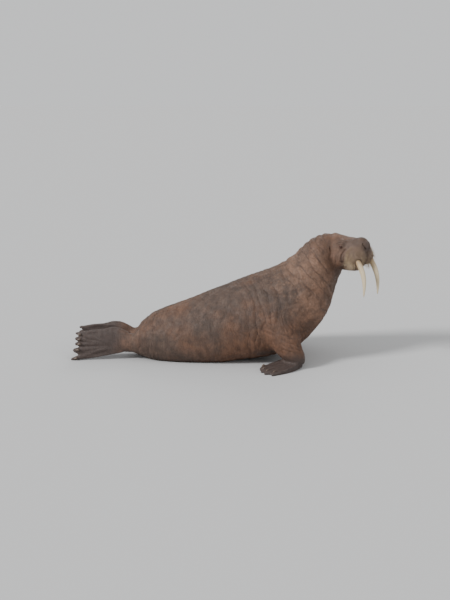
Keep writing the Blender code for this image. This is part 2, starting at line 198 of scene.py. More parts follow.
# Fields over the body
def ramp(values, low, high):
    part = np.clip((values - low) / (high - low), 0.0, 1.0)
    return part * part * (3.0 - 2.0 * part)


def bell(away, width):
    return np.exp(-(away / width) ** 2)


def softNoise(places, seed):
    # smooth random values from -1 to 1 on a grid of unit cells, mixed from the cell's three numbers
    cell = np.floor(places).astype(np.int64)
    part = places - cell
    part = part ** 3 * (part * (part * 6.0 - 15.0) + 10.0)
    total = np.zeros(len(places))
    for corner in range(8):
        step = np.array([(corner >> k) & 1 for k in range(3)])
        x, y, z = (cell + step).T
        mixed = (x * 73856093) ^ (y * 19349663) ^ (z * 83492791) ^ (seed * 2654435761)
        mixed = ((mixed ^ (mixed >> 13)) * 1274126177) & 0x7FFFFFFF
        value = ((mixed ^ (mixed >> 15)) & 0xFFFF) / 32767.5 - 1.0
        total += value * np.prod(np.where(step, part, 1.0 - part), axis=1)
    return total


def layeredNoise(places, seed, layers=3):
    total = 0.0
    for k in range(layers):
        total = total + softNoise(places * 2.0 ** k + k * 7.3, seed + k) / 2.0 ** k
    return total


headShape = {
    "tilt": 1.0,                       # degrees, nose down
    "eye": (0.176, 0.150, 0.072),      # in the head's frame: forward, left, up
    "pad": (0.338, 0.085, -0.025),
    "padReach": (0.125, 0.105, 0.128),
    "middle": (0.26, 0.0, 0.0),
    "faceEnds": (0.42, 0.30),          # how far from there the face starts and is whole
}
tuskShape = {
    "root": (0.350, 0.115, -0.010),
    "tip": (0.534, 0.126, -0.476),
    "bow": 0.067,                      # how far the middle stands forward of the straight line
    "width": 0.0385,                   # half width at the gum, front to back
    "slim": 0.80,                      # side to side, as a share of that
    "gum": 0.30,                       # the share of the tusk that may touch the gum
    "rings": 72,
    "corners": 30,
}


def onSide(place, flip):
    return np.asarray(place, dtype=float) * (1.0, flip, 1.0)


def unit(vector):
    return vector / np.linalg.norm(vector)


def lengths(vectors):
    return np.linalg.norm(vectors, axis=1)


def middleOf(node):
    low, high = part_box(node)
    return (low + high) / 2


def headFrame():
    # the head's axes as columns, and its origin, found from the two eyes
    right, left = middleOf("eye_right"), middleOf("eye_left")
    across = (left - right).normalized()
    turn = math.atan2(-across.x, across.y)
    axes = Euler((0.0, math.radians(headShape["tilt"]), turn)).to_matrix()
    eye = Vector(headShape["eye"])
    origin = (left + right) / 2 - axes @ Vector((eye.x, 0.0, eye.z))
    return np.array(axes), np.array(origin)


headAxes, headOrigin = headFrame()


def inHead(places):
    return (places - headOrigin) @ headAxes


def fromHead(places):
    return np.asarray(places) @ headAxes.T + headOrigin


def tuskLine(flip, share):
    # the middle of the tusk in the head's frame, its half width there, and its three directions
    root = onSide(tuskShape["root"], flip)
    tip = onSide(tuskShape["tip"], flip)
    along = unit(tip - root)
    forward = unit(np.array((1.0, 0.0, 0.0)) - along * along[0])
    middle = root + (tip - root) * share + forward * tuskShape["bow"] * math.sin(math.pi * share)
    taper = (1.0 - share ** 2.4) ** 0.62 * (1.0 - 0.18 * share)
    return middle, tuskShape["width"] * taper, (along, forward, np.cross(along, forward))


def gumDistance(places):
    # how far each place stands from the side of the nearer tusk, close to its root
    spots = inHead(places)
    found = np.full(len(places), 1.0)
    for _, flip in sides:
        for share in np.linspace(0.0, tuskShape["gum"], 25):
            middle, half, (along, forward, side) = tuskLine(flip, share)
            away = spots - middle
            beside = np.hypot(away @ forward, away @ side / tuskShape["slim"]) - half
            near = np.abs(away @ along) < 0.008
            found[near] = np.minimum(found[near], beside[near])
    return np.maximum(found, 0.0)


def clawLine(name):
    # middle of the solid's claw, the way it points and its length
    found = placesOf(nodes[name])
    center = found.mean(axis=0)
    axis = np.linalg.svd(found - center)[2][0]
    spans = (found - center) @ axis
    wide = [lengths(found[part] - center - np.outer(spans[part], axis)).mean()
            for part in (spans < np.median(spans), spans >= np.median(spans))]
    if wide[1] > wide[0]:
        axis, spans = -axis, -spans
    middle = center + axis * (spans.min() + spans.max()) / 2
    return middle, axis, spans.max() - spans.min()


neckMiddle = np.array((0.985, 0.0, 0.95))
neckAxis = np.array((0.72, -0.04, 0.69))
neckBack = np.array((-0.69, 0.0, 0.72))
regions = {
    # each region's limits: 0 forward, 1 out to the side or 2 up, where it starts and where it is whole
    "hand": ((2, 0.28, 0.16), (1, 0.33, 0.40), (0, 0.36, 0.43)),
    "foot": ((0, -1.00, -1.12),),
    "arm": ((2, 0.62, 0.42), (1, 0.34, 0.43), (0, 0.40, 0.55)),
    # these are in the head's frame
    "brow": ((2, 0.10, 0.15), (0, -0.02, 0.06), (0, 0.33, 0.24)),
    "temple": ((0, 0.19, 0.10), (2, 0.14, 0.08)),
    "nose": ((0, 0.36, 0.40), (1, 0.075, 0.045), (2, 0.03, 0.06), (2, 0.165, 0.135)),
}


def shareOf(name, places):
    if name == "face":
        away = lengths(inHead(places) - headShape["middle"])
        return ramp(away, *headShape["faceEnds"])
    found = 1.0
    for axis, start, whole in regions[name]:
        values = np.abs(places[:, 1]) if axis == 1 else places[:, axis]
        found = found * ramp(values, start, whole)
    return found


def alongNeck(places):
    return (places - neckMiddle) @ neckAxis


# The skin: one surface over all the nodes of flesh
skinShape = {
    "grain": 0.009,            # edge length before it is thinned
    "depth": 0.002,            # how far it lies inside the solids, for the coat
    "limbDepth": 0.4,          # the share of that on the flippers
    "floorGap": 0.0012,        # under the belly and palms
    "floorBand": 0.004,        # what is this low rests on the floor
    "evenRounds": 200,         # smoothing of the broad body
    "fineRounds": 8,           # of the face too
    "limbRounds": 9,
    "regainRounds": 120,       # evens out the size that smoothing takes
    "faceRounds": 10,
    "eyePlug": (0.021, 0.021, 0.021),       # these fill the sockets of the eyes and tusks
    "tuskPlug": (0.038, 0.032, 0.062),
    "socket": 0.055,           # reach of the fill round a tusk's root
    "socketRounds": 220,
    "faceFiner": 0.34,         # within these reaches the surface is split once more each
    "eyeFiner": (0.060, 0.036),
    "gumFiner": 0.022,
    "triangles": 188000,
}
clawNodes = [name for name in nodes if "_claw_" in name]
fleshNodes = [name for name in nodes
              if not name.startswith(("eye", "tusk", "fore_claw", "hind_claw"))]


def joinedFlesh():
    pieces = []
    for name in fleshNodes:
        work = bmesh.new()
        work.from_mesh(nodes[name].data)
        bmesh.ops.remove_doubles(work, verts=work.verts, dist=0.00005)
        mesh = bpy.data.meshes.new("flesh")
        work.to_mesh(mesh)
        work.free()
        pieces.append(linked("flesh", mesh))
    plugs = ((headShape["eye"], skinShape["eyePlug"]), (tuskLine(1.0, 0.09)[0], skinShape["tuskPlug"]))
    for place, size in plugs:
        for _, flip in sides:
            bpy.ops.mesh.primitive_uv_sphere_add(segments=24, ring_count=16, radius=1.0, scale=size,
                                                 location=fromHead(onSide(place, flip)))
            bpy.ops.object.transform_apply(location=True, rotation=True, scale=True)
            pieces.append(bpy.context.object)
    bpy.ops.object.select_all(action="DESELECT")
    for piece in pieces:
        piece.select_set(True)
    bpy.context.view_layer.objects.active = pieces[0]
    bpy.ops.object.join()
    joined = bpy.context.object
    joined.name = "skin"
    joined.data.name = "skin"
    return joined


def dropCrumbs(item):
    # keeps only the shell that holds the highest point
    work = bmesh.new()
    work.from_mesh(item.data)
    start = max(work.verts, key=lambda vert: vert.co.z)
    kept, stack = {start}, [start]
    while stack:
        for edge in stack.pop().link_edges:
            for vert in edge.verts:
                if vert not in kept:
                    kept.add(vert)
                    stack.append(vert)
    bmesh.ops.delete(work, geom=[vert for vert in work.verts if vert not in kept])
    work.to_mesh(item.data)
    work.free()


def evenOut(item):
    # takes the flat facets off the broad body and keeps its size
    before = placesOf(item)
    edges = edgesOf(item)
    limbs = np.maximum(shareOf("hand", before), shareOf("foot", before))
    fine = np.maximum(shareOf("face", before), limbs)
    smooth = spread(before, edges, skinShape["evenRounds"], 1.0 - fine)
    smooth = spread(smooth, edges, skinShape["fineRounds"], 1.0 - limbs)
    for _ in range(skinShape["limbRounds"]):              # a step in and a step out keep the digits' ends
        smooth = spread(smooth, edges, 1, limbs)
        smooth = spread(smooth, edges, 1, -1.04 * limbs)
    setPlaces(item, smooth)
    normals = normalsOf(item)
    lost = ((smooth - before) * normals).sum(axis=1)
    lost = spread(lost, edges, skinShape["regainRounds"]) * (1.0 - limbs)
    depth = skinShape["depth"] * (1.0 - (1.0 - skinShape["limbDepth"]) * limbs)
    places = smooth - normals * (lost + depth)[:, None]
    places[before[:, 2] < skinShape["floorBand"], 2] = skinShape["floorGap"]
    places[:, 2] = np.maximum(places[:, 2], skinShape["floorGap"])
    setPlaces(item, places)


def refine(item, chosen, reach):
    mesh = item.data
    picked = chosen(readAll(mesh.polygons, "center", 3).astype(float), reach)
    activate(item)
    bpy.ops.object.mode_set(mode="EDIT")
    bpy.ops.mesh.select_mode(type="FACE")
    bpy.ops.mesh.select_all(action="DESELECT")
    bpy.ops.object.mode_set(mode="OBJECT")
    mesh.polygons.foreach_set("select", picked)
    bpy.ops.object.mode_set(mode="EDIT")
    bpy.ops.mesh.subdivide(number_cuts=1)
    bpy.ops.object.mode_set(mode="OBJECT")


def fillSockets(item, edges):
    # draws the skin smoothly over the hollow round each tusk's root
    places = placesOf(item)
    gum = gumDistance(places)
    picked = np.nonzero(gum < skinShape["socket"])[0]
    order = np.full(len(places), -1)
    order[picked] = np.arange(len(picked))
    local = order[edges]
    local = local[(local >= 0).all(axis=1)]
    share = ramp(gum[picked], 0.050, 0.030)
    places[picked] = spread(places[picked], local, skinShape["socketRounds"], share)
    setPlaces(item, places)


def nearEyes(places, reach):
    near = np.full(len(places), 9.0)
    for _, flip in sides:
        spot = fromHead(onSide(headShape["eye"], flip))
        near = np.minimum(near, lengths(places - spot))
    return near < reach


def nearGum(places, reach):
    return gumDistance(places) < reach


def inFace(places, reach):
    spots = inHead(places)
    return (spots[:, 0] > 0.05) & (lengths(spots - headShape["middle"]) < reach)


skin = joinedFlesh()
applied(skin, "REMESH", mode="VOXEL", voxel_size=skinShape["grain"])
dropCrumbs(skin)
evenOut(skin)
refine(skin, inFace, skinShape["faceFiner"])
for reach in skinShape["eyeFiner"]:
    refine(skin, nearEyes, reach)
refine(skin, nearGum, skinShape["gumFiner"])
skinEdges = edgesOf(skin)
start = placesOf(skin)
faceOnly = ramp(shareOf("face", start), 0.2, 0.8)
setPlaces(skin, spread(start, skinEdges, skinShape["faceRounds"], faceOnly))
fillSockets(skin, skinEdges)
print("skin laid,", len(skin.data.vertices), "points")


# Folds, rolls and bosses of the body
folds = {
    # name: step from fold to fold, how far it strays, depth, the level that stays, roundness,
    # where the shade painted into its crease starts and is whole, how dark that painted shade is
    "neck": (0.105, 0.62, 0.0185, 0.64, 0.68, 0.55, 0.05, 1.0),
    "flank": (0.118, 0.85, 0.0160, 0.64, 0.55, 0.45, 0.05, 0.8),
    "chest": (0.098, 0.60, 0.0130, 0.64, 0.55, 0.50, 0.05, 0.9),
    "fine": (0.046, 1.10, 0.0060, 0.60, 0.70, 0.35, 0.03, 0.55),
    "arm": (0.060, 0.80, 0.0075, 0.66, 0.55, 0.50, 0.05, 1.0),
    "armpit": (0.066, 0.50, 0.0055, 0.72, 0.55, 0.50, 0.05, 1.0),
    "digit": (0.030, 0.50, 0.0020, 0.72, 0.55, 0.45, 0.05, 0.7),
    "ankle": (0.034, 0.55, 0.0024, 0.72, 0.55, 0.45, 0.05, 0.7),
    "brow": (0.034, 0.70, 0.0028, 0.70, 0.55, 0.40, 0.05, 0.5),
    "temple": (0.042, 0.90, 0.0036, 0.70, 0.55, 0.40, 0.05, 0.5),
    "whiskerRows": (0.0165, 0.30, 0.0014, 0.62, 0.80, 0.40, 0.05, 0.0),
}
bodyPlaces = {
    "shoulder": (0.885, 0.64),     # forward and up, where folds of three ways meet
    "shoulderCalm": 0.7,
    "armpit": (0.66, 0.46, 0.30),
    "lumps": 0.0065,               # height of the broad unevenness
}
bosses = {                         # the blunt knobs on a bull's neck and shoulders
    "tries": 900,
    "apart": 0.034,
    "radius": (0.011, 0.021),
    "height": (0.0025, 0.0058),
}
rays = {                           # raised, one to each claw
    "foreStart": (0.90, 0.50, 0.10),
    "hindStart": (-1.26, 0.19),    # forward and up
    "foreHeight": 0.0052,
    "hindHeight": 0.0068,
    "flat": 0.006,                 # half width of its top
    "slope": 0.011,
    "spread": 0.008,               # how much wider it is at its start
    "cuticle": 0.0042,
}
marks = {}                         # what the paint reads: each is a value from 0 to 1 at every point


def rolls(kind, along, wander, weight):
    # round rolls with narrow creases between them: how high they stand, and how dark the shade painted
    # into the creases is
    step, stray, deep, level, power, start, whole, tone = folds[kind]
    profile = np.abs(np.sin(np.pi * (along / step + stray * wander))) ** power
    return (profile - level) * deep * weight, ramp(profile, start, whole) * weight * tone


def shapeBody(item):
    places = placesOf(item)
    x, z = places[:, 0], places[:, 2]
    face, hand, foot, arm = (shareOf(name, places) for name in ("face", "hand", "foot", "arm"))
    body = 1.0 - np.maximum.reduce([face, hand, foot])
    up = alongNeck(places)
    neck = ramp(up, -0.34, 0.02)
    nape = ramp((places - neckMiddle) @ neckBack, -0.22, 0.25)
    wander = layeredNoise(places * 2.9, 11)
    shoulder = lengths(places[:, ::2] - bodyPlaces["shoulder"])
    calm = 1.0 - bodyPlaces["shoulderCalm"] * ramp(shoulder, 0.18, 0.04)
    gate = ramp(layeredNoise(places * 3.7, 14, 2), -0.7, 0.35) * calm
    front = ramp(x, 0.86, 1.08)
    ends = np.maximum(ramp(x, 0.05, 0.50), ramp(x, -0.55, -0.95))
    upright = x + 0.20 * z
    mixedWay = upright * (1.0 - neck) + (up * 1.15 + 0.8) * neck

    neckWeight = body * neck * (0.68 + 0.32 * nape) * gate
    flankWeight = body * (1.0 - neck) * (0.30 + 0.70 * ends) * (1.0 - 0.7 * arm) * gate * (1.0 - front)
    chestWeight = body * front * (1.0 - 0.8 * neck) * (1.0 - 0.8 * arm) * gate
    fineGate = ramp(layeredNoise(places * 6.1, 33, 2), -0.5, 0.5) * calm
    fineWeight = body * (0.25 + 0.75 * np.maximum(neck, ends)) * fineGate
    layers = [
        rolls("neck", up, wander, neckWeight),
        rolls("flank", upright, wander, flankWeight),
        rolls("chest", z - 0.35 * x, wander, chestWeight),
        rolls("fine", mixedWay, layeredNoise(places * 5.3, 31), fineWeight),
        rolls("arm", z + 0.30 * x, wander, arm * (1.0 - hand) * gate),
    ]
    for _, flip in sides:                 # these ring the armpit behind the arm
        away = places - onSide(bodyPlaces["armpit"], flip)
        reach = lengths(away * (1.0, 0.5, 1.0))
        behind = ramp(-away[:, 0], -0.04, 0.10) * ramp(reach, 0.10, 0.17) * ramp(reach, 0.42, 0.26)
        near = behind * (1.0 - arm) * (1.0 - hand) * ramp(places[:, 1] * flip, 0.15, 0.30)
        layers.append(rolls("armpit", reach, wander, near))
    height = sum(rise for rise, _ in layers)
    push(item, height + bodyPlaces["lumps"] * layeredNoise(places * 2.1, 51) * body)
    # painted shade: the creases between the rolls are darkened in the hide's colour
    marks["creaseShade"] = np.clip(sum(dark for _, dark in layers), 0.0, 1.0)


def shapeLimbs(item):
    # wrinkles across the digits and knuckles of the flippers, and round the ankles
    places = placesOf(item)
    hand, foot = shareOf("hand", places), shareOf("foot", places)
    wander = layeredNoise(places * 9.0, 61, 2)
    height = np.zeros(len(places))
    creaseShade = marks["creaseShade"]
    for _, flip in sides:
        reach = lengths(places[:, :2] - (0.96, 0.46 * flip))
        near = hand * ramp(places[:, 1] * flip, 0.20, 0.30) * ramp(places[:, 2], 0.006, 0.016)
        rise, dark = rolls("digit", reach, wander, near)
        height += rise
        creaseShade = np.maximum(creaseShade, dark)
    cuticle = np.zeros(len(places))
    for name in clawNodes:
        end, axis, long = clawLine(name)
        flip = np.sign(end[1])
        if name.startswith("fore"):
            start, tall = onSide(rays["foreStart"], flip), rays["foreHeight"]
            limb = hand * ramp(places[:, 2], 0.012, 0.03)
        else:
            forward, up = rays["hindStart"]
            start, tall = (forward, end[1], up), rays["hindHeight"]
            limb = foot * (places[:, 1] * flip > 0.0)
        span = end - start
        part = np.clip(((places - start) @ span) / (span @ span), 0.0, 1.04)
        away = places - (start + part[:, None] * span)
        # a foot is thin, so its rays show on both of its faces
        beside = lengths(away) if name.startswith("fore") else np.abs(away[:, 2])
        reach = rays["slope"] + rays["spread"] * (1.0 - part)
        swell = tall * bell(np.maximum(beside - rays["flat"], 0.0), reach)
        height = np.maximum(height, swell * limb * ramp(part, 0.12, 0.45))
        away = lengths(places - (end - axis * long * 0.42))
        cuticle = np.maximum(cuticle, rays["cuticle"] * ramp(away, 0.026, 0.012))
    ankle = foot * (0.55 + 0.45 * ramp(places[:, 0], -1.45, -1.20))
    rise, dark = rolls("ankle", places[:, 0], wander, ankle)
    push(item, height + cuticle + rise)
    # painted shade in the creases of the digits and round the ankles
    marks["creaseShade"] = np.maximum(creaseShade, dark)
    shank = ramp(places[:, 0] + 0.05 * layeredNoise(places * 6.0, 67, 2), -1.08, -1.36)
    marks["bare"] = np.maximum(hand * ramp(places[:, 2], 0.25, 0.08), shank)


def shapeBosses(item):
    rng = np.random.default_rng(7)
    places = placesOf(item)
    up = alongNeck(places)
    wanted = (ramp(up, -0.38, -0.12) * ramp(up, 0.46, 0.22) * (1.0 - shareOf("face", places))
              * ramp(places[:, 2], 0.34, 0.60))
    height = np.zeros(len(places))
    boss = np.zeros(len(places))
    kept = np.empty((0, 3))
    pool = np.nonzero(wanted > 0.05)[0]
    for index in pool[rng.permutation(len(pool))[:bosses["tries"]]]:
        spot = places[index]
        crowded = len(kept) and lengths(kept - spot).min() < bosses["apart"]
        if crowded or rng.random() > wanted[index]:
            continue
        kept = np.vstack([kept, spot])
        size = rng.uniform(*bosses["radius"])
        tall = rng.uniform(*bosses["height"])
        away = ((places - spot) ** 2).sum(axis=1)
        near = np.nonzero(away < size * size)[0]
        dome = (1.0 - away[near] / (size * size)) ** 1.4
        height[near] = np.maximum(height[near], dome * tall)
        boss[near] = np.maximum(boss[near], dome)
    push(item, height)
    marks["boss"] = boss
    print("bosses", len(kept))


shapeBody(skin)
shapeLimbs(skin)
shapeBosses(skin)
print("body folds")


# Muzzle, mouth, nostrils, ears and the folds of the face, in the head's frame for the left side
faceLines = {
    # name: points, half width, depth, height of the rims
    "nostril": (((0.441, 0.027, 0.072), (0.438, 0.039, 0.083), (0.427, 0.047, 0.102),
                 (0.408, 0.045, 0.121)), 0.0062, 0.015, 0.005),
    "lip": (((0.400, 0.0, -0.096), (0.385, 0.050, -0.118), (0.320, 0.100, -0.124),
             (0.240, 0.134, -0.112), (0.185, 0.150, -0.085)), 0.0075, 0.012, 0.003),
    "cheekFold": (((0.240, 0.150, 0.050), (0.215, 0.165, 0.000), (0.205, 0.165, -0.055),
                   (0.215, 0.150, -0.100)), 0.009, 0.0065, 0.004),
    "cheekFoldBack": (((0.165, 0.175, 0.010), (0.140, 0.185, -0.045), (0.140, 0.175, -0.105)),
                      0.009, 0.005, 0.003),
    "underEye": (((0.225, 0.150, 0.050), (0.185, 0.165, 0.024), (0.135, 0.180, 0.030)),
                 0.0045, 0.0032, 0.0015),
    "browFold": (((0.215, 0.135, 0.112), (0.170, 0.150, 0.122), (0.125, 0.165, 0.105)),
                 0.0050, 0.0040, 0.003),
    "earFold": (((0.020, 0.195, 0.055), (0.000, 0.205, 0.028), (0.012, 0.205, -0.005)),
                0.0050, 0.0050, 0.004),
}
faceShape = {
    "darkDepth": 0.008,            # a line this deep gets the full painted shade
    "ear": (0.014, 0.200, 0.026),
    "earRadius": 0.0080,
    "earDepth": 0.012,
    "earRim": 0.002,
    "philtrum": ((0.452, 0.0, 0.034), (0.448, 0.0, -0.005), (0.430, 0.0, -0.050), (0.400, 0.0, -0.096)),
    "philtrumWidth": 0.0120,
    "philtrumDepth": 0.015,
    # painted shade in the groove of the philtrum
    "philtrumDark": 0.42,
    "tuskLip": (0.011, 0.006, 0.010),       # a lip of skin: height, how far from the tusk, half width
    "tuskGap": (0.004, 0.003),              # the gap inside it: depth, half width
    # painted shade where each tusk meets the gum
    "tuskDark": (0.8, 0.0035),
    "padSwell": 0.009,
}


def curveThrough(points, steps=14):
    # a Catmull-Rom curve through the points
    points = np.asarray(points, dtype=float)
    ends = np.vstack([points[0], points, points[-1]])
    out = []
    for i in range(len(points) - 1):
        a, b, c, d = ends[i:i + 4]
        for t in np.linspace(0.0, 1.0, steps, endpoint=False):
            out.append(0.5 * (2 * b + (c - a) * t + (2 * a - 5 * b + 4 * c - d) * t ** 2
                              + (3 * b - a - 3 * c + d) * t ** 3))
    return np.array(out + [points[-1]])


def skinTree(item):
    work = bmesh.new()
    work.from_mesh(item.data)
    tree = BVHTree.FromBMesh(work)
    work.free()
    return tree


def laidOn(tree, points):
    return np.array([tree.find_nearest(Vector(point))[0] for point in points])


def lineDistance(places, path, reach=0.07):
    far = np.full(len(places), 1.0)
    near = np.nonzero(((places > path.min(0) - reach) & (places < path.max(0) + reach)).all(1))[0]
    for point in path:
        far[near] = np.minimum(far[near], lengths(places[near] - point))
    return far


def groove(away, width, depth, rim):
    return rim * bell(away - 2.1 * width, width) - depth * bell(away, width)


def cutLines(places, tree):
    # the lines, philtrum, tusk roots and ears: heights, painted shade in their grooves and hollows, and
    # the openings of the ears
    height = np.zeros(len(places))
    darks = []
    for points, width, depth, rim in faceLines.values():
        for _, flip in sides:
            path = laidOn(tree, fromHead(onSide(curveThrough(points), flip)))
            away = lineDistance(places, path)
            height += groove(away, width, depth, rim)
            darks.append(bell(away, 0.8 * width) * min(1.0, depth / faceShape["darkDepth"]))
    away = lineDistance(places, laidOn(tree, fromHead(curveThrough(faceShape["philtrum"]))))
    height += groove(away, faceShape["philtrumWidth"], faceShape["philtrumDepth"], 0.0)
    darks.append(bell(away, faceShape["philtrumWidth"]) * faceShape["philtrumDark"])
    gum = gumDistance(places)
    tall, middle, width = faceShape["tuskLip"]
    deep, gap = faceShape["tuskGap"]
    height += tall * bell(gum - middle, width) - deep * bell(gum, gap)
    tone, width = faceShape["tuskDark"]
    darks.append(tone * bell(gum, width))
    opening = np.zeros(len(places))
    radius = faceShape["earRadius"]
    for _, flip in sides:
        spot = laidOn(tree, [fromHead(onSide(faceShape["ear"], flip))])[0]
        away = lengths(places - spot)
        height += groove(away, radius, faceShape["earDepth"], faceShape["earRim"])
        darks.append(bell(away, radius))
        opening = np.maximum(opening, ramp(away, 0.9 * radius, 0.5 * radius))
    return height, darks, opening


def shapeFace(item):
    places = placesOf(item)
    height, darks, opening = cutLines(places, skinTree(item))
    spots = inHead(places)
    ahead, beside, up = spots.T
    face = shareOf("face", places)
    wander = layeredNoise(places * 11.0, 71)
    for kind, along in (("brow", ahead), ("temple", ahead + 0.25 * up)):
        rise, dark = rolls(kind, along, wander, face * shareOf(kind, spots))
        height += rise
        darks.append(dark)
    pads = np.zeros(len(places))
    for _, flip in sides:
        away = lengths((spots - onSide(headShape["pad"], flip)) / headShape["padReach"])
        pads = np.maximum(pads, ramp(away, 1.12, 0.95))
        swell = faceShape["padSwell"] * np.maximum(1.0 - (away / 1.1) ** 6, 0.0)
        height += swell * ramp(beside * flip, 0.0, 0.03) * ramp(ahead, 0.24, 0.31)
    pads *= ramp(ahead, 0.24, 0.31)
    push(item, height + rolls("whiskerRows", up, wander, pads)[0])
    # the painted shade of the face's lines, nostrils, ears and tusk roots joins that of the body
    marks["creaseShade"] = np.clip(np.maximum.reduce([marks["creaseShade"]] + darks), 0.0, 1.0)
    marks["pad"] = pads
    marks["rim"] = opening
    marks["nose"] = shareOf("nose", spots)


# Eyelids: the skin is drawn over each eyeball and left open along an almond
eyeShape = {
    "radius": 0.0196,
    "out": (0.44, 0.86, 0.20),       # which way the eye looks, in the head's frame
    "slope": -0.14,                  # the inner corner sits lower
    "lid": 0.0030,                   # thickness of the lids
    "long": 0.0190,                  # half length of the opening
    "upper": 0.0098,
    "lower": 0.0082,
    "mound": 0.040,
    "outerPull": 0.55,               # how far the skin round the lids is drawn
    "sunk": 0.0055,                  # how far the skin lies inside the ball, in the opening
    "wet": 0.0030,
    # the rim, the fold and the bag: height, how far from the opening, half width
    "ridges": ((0.0012, 0.0022, 0.0016), (-0.0016, 0.0080, 0.0018), (-0.0014, 0.0150, 0.0022)),
    "bulge": 0.055,                  # of the clear front of the ball, as a share of its radius
    "bulgeAngle": 34.0,
    "rings": 30,
    "corners": 44,
}


def eyeAxes(flip):
    # along the lids towards the nose, up across them, and out of the head
    out = unit(onSide(eyeShape["out"], flip))
    along = np.array((1.0, 0.0, eyeShape["slope"]))
    along = unit(along - out * (along @ out))
    up = np.cross(out, along) * flip
    up *= np.sign(up[2])
    return headAxes @ along, headAxes @ up, headAxes @ out


def shapeLids(item):
    places = placesOf(item)
    wet = np.zeros(len(places))
    lidRadius = eyeShape["radius"] + eyeShape["lid"]
    for side, flip in sides:
        middle = np.array(middleOf("eye_" + side))
        axes = np.array(eyeAxes(flip))
        local = (places - middle) @ axes.T
        a, b, h = local.T
        r = np.hypot(a, b)
        near = (r < eyeShape["mound"]) & (h > -0.03)
        dome = np.sqrt(np.maximum(lidRadius ** 2 - np.minimum(r, 0.9 * lidRadius) ** 2, 0.0))
        pull = ramp(r, eyeShape["mound"], 0.55 * lidRadius)
        lifted = h + (dome - h) * pull * np.where(r < lidRadius, 1.0, eyeShape["outerPull"])
        lean = a / eyeShape["long"]
        tall = np.where(b > 0, eyeShape["upper"], eyeShape["lower"]) * (1.0 - lean ** 2)
        edge = np.abs(b) - tall
        edge = np.where(np.abs(lean) > 1.0, np.hypot(np.abs(a) - eyeShape["long"], b), edge)
        sunk = np.sqrt(np.maximum(eyeShape["radius"] ** 2 - r ** 2, 0.0)) - eyeShape["sunk"]
        opened = ramp(edge, 0.0006, -0.0012)
        ridges = sum(rise * bell(edge - away, width) for rise, away, width in eyeShape["ridges"])
        shaped = (lifted + ridges * pull) * (1.0 - opened) + sunk * opened
        local[:, 2] = np.where(near, shaped, h)
        places = np.where(near[:, None], middle + local @ axes, places)
        wet = np.maximum(wet, near * bell(np.maximum(edge, 0.0), eyeShape["wet"]))
    setPlaces(item, places)
    marks["rim"] = np.maximum(marks["rim"], wet)


shapeFace(skin)
shapeLids(skin)
print("face")


# Marks onto the mesh, then thinning where the surface is plain
def storeMarks(item, values):
    for name, column in values.items():
        layer = item.data.attributes.get(name) or item.data.attributes.new(name, "FLOAT", "POINT")
        layer.data.foreach_set("value", np.asarray(column, dtype=np.float32))


storeMarks(skin, marks)
skinTriangles = sum(len(face.vertices) - 2 for face in skin.data.polygons)
applied(skin, "DECIMATE", ratio=skinShape["triangles"] / skinTriangles, use_collapse_triangulate=True)
marks = {name: readAll(skin.data.attributes[name].data, "value", 1)[:, 0].astype(float) for name in marks}
skin.data.shade_smooth()
print("skin thinned to", len(skin.data.polygons), "triangles from", skinTriangles)
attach(skin, "root")
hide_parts(*fleshNodes)


# The unwrap, made on a smoothed copy of the shape so that its islands are few and broad
unwrapShape = {"rounds": 60, "angle": 1.15, "margin": 0.003}


def unwrapSkin(item):
    shape = placesOf(item)
    setPlaces(item, spread(shape, edgesOf(item), unwrapShape["rounds"]))
    item.data.uv_layers.new(name="OFBake")
    editAll(item, bpy.ops.uv.smart_project, angle_limit=unwrapShape["angle"],
            island_margin=unwrapShape["margin"], scale_to_bounds=True)
    setPlaces(item, shape)


unwrapSkin(skin)
print("skin unwrapped")


# Node helpers
def feed(tree, socket, value):
    if isinstance(value, bpy.types.NodeSocket):
        tree.links.new(value, socket)
    else:
        socket.default_value = value


def addNode(tree, kind, inputs=None, **settings):
    node = tree.nodes.new(kind)
    for key, value in settings.items():
        setattr(node, key, value)
    for key, value in (inputs or {}).items():
        feed(tree, node.inputs[key], value)
    return node


def mixed(tree, share, first, second, blend="MIX"):
    node = addNode(tree, "ShaderNodeMix", {0: share}, data_type="RGBA", blend_type=blend)
    for key, value in ((6, first), (7, second)):
        feed(tree, node.inputs[key], (*value, 1.0) if isinstance(value, tuple) else value)
    return node.outputs[2]


def counted(tree, kind, first, second=0.0):
    return addNode(tree, "ShaderNodeMath", {0: first, 1: second}, operation=kind).outputs[0]


def times(tree, first, second):
    return counted(tree, "MULTIPLY", first, second)


def ranged(tree, value, low, high, toLow=0.0, toHigh=1.0):
    sockets = {"Value": value, "From Min": low, "From Max": high, "To Min": toLow, "To Max": toHigh}
    return addNode(tree, "ShaderNodeMapRange", sockets, interpolation_type="SMOOTHSTEP").outputs[0]


def mark(tree, name, share=1.0):
    found = addNode(tree, "ShaderNodeAttribute", attribute_name=name).outputs["Fac"]
    return found if share == 1.0 else times(tree, found, share)


def objectPlace(tree, scale=(1.0, 1.0, 1.0)):
    place = addNode(tree, "ShaderNodeTexCoord").outputs["Object"]
    return addNode(tree, "ShaderNodeMapping", {"Vector": place, "Scale": scale}).outputs[0]


def noiseOver(tree, place, scale, detail, rough=0.55):
    sockets = {"Vector": place, "Scale": scale, "Detail": detail, "Roughness": rough}
    return addNode(tree, "ShaderNodeTexNoise", sockets).outputs["Fac"]


def patches(tree, place, noise, limits):
    # noise is scale, detail and roughness; limits are where patches start and end, and their values
    return ranged(tree, noiseOver(tree, place, *noise), *limits)


def thinLines(tree, place, noise, limits):
    # how far a noise is from its middle, from 0 at the first of limits to 1 at the second
    away = counted(tree, "SUBTRACT", noiseOver(tree, place, *noise), 0.5)
    return ranged(tree, counted(tree, "ABSOLUTE", away), *limits)


def tinted(tree, color, shade):
    grey = addNode(tree, "ShaderNodeCombineColor", {0: shade, 1: shade, 2: shade}).outputs[0]
    return mixed(tree, 1.0, color, grey, "MULTIPLY")


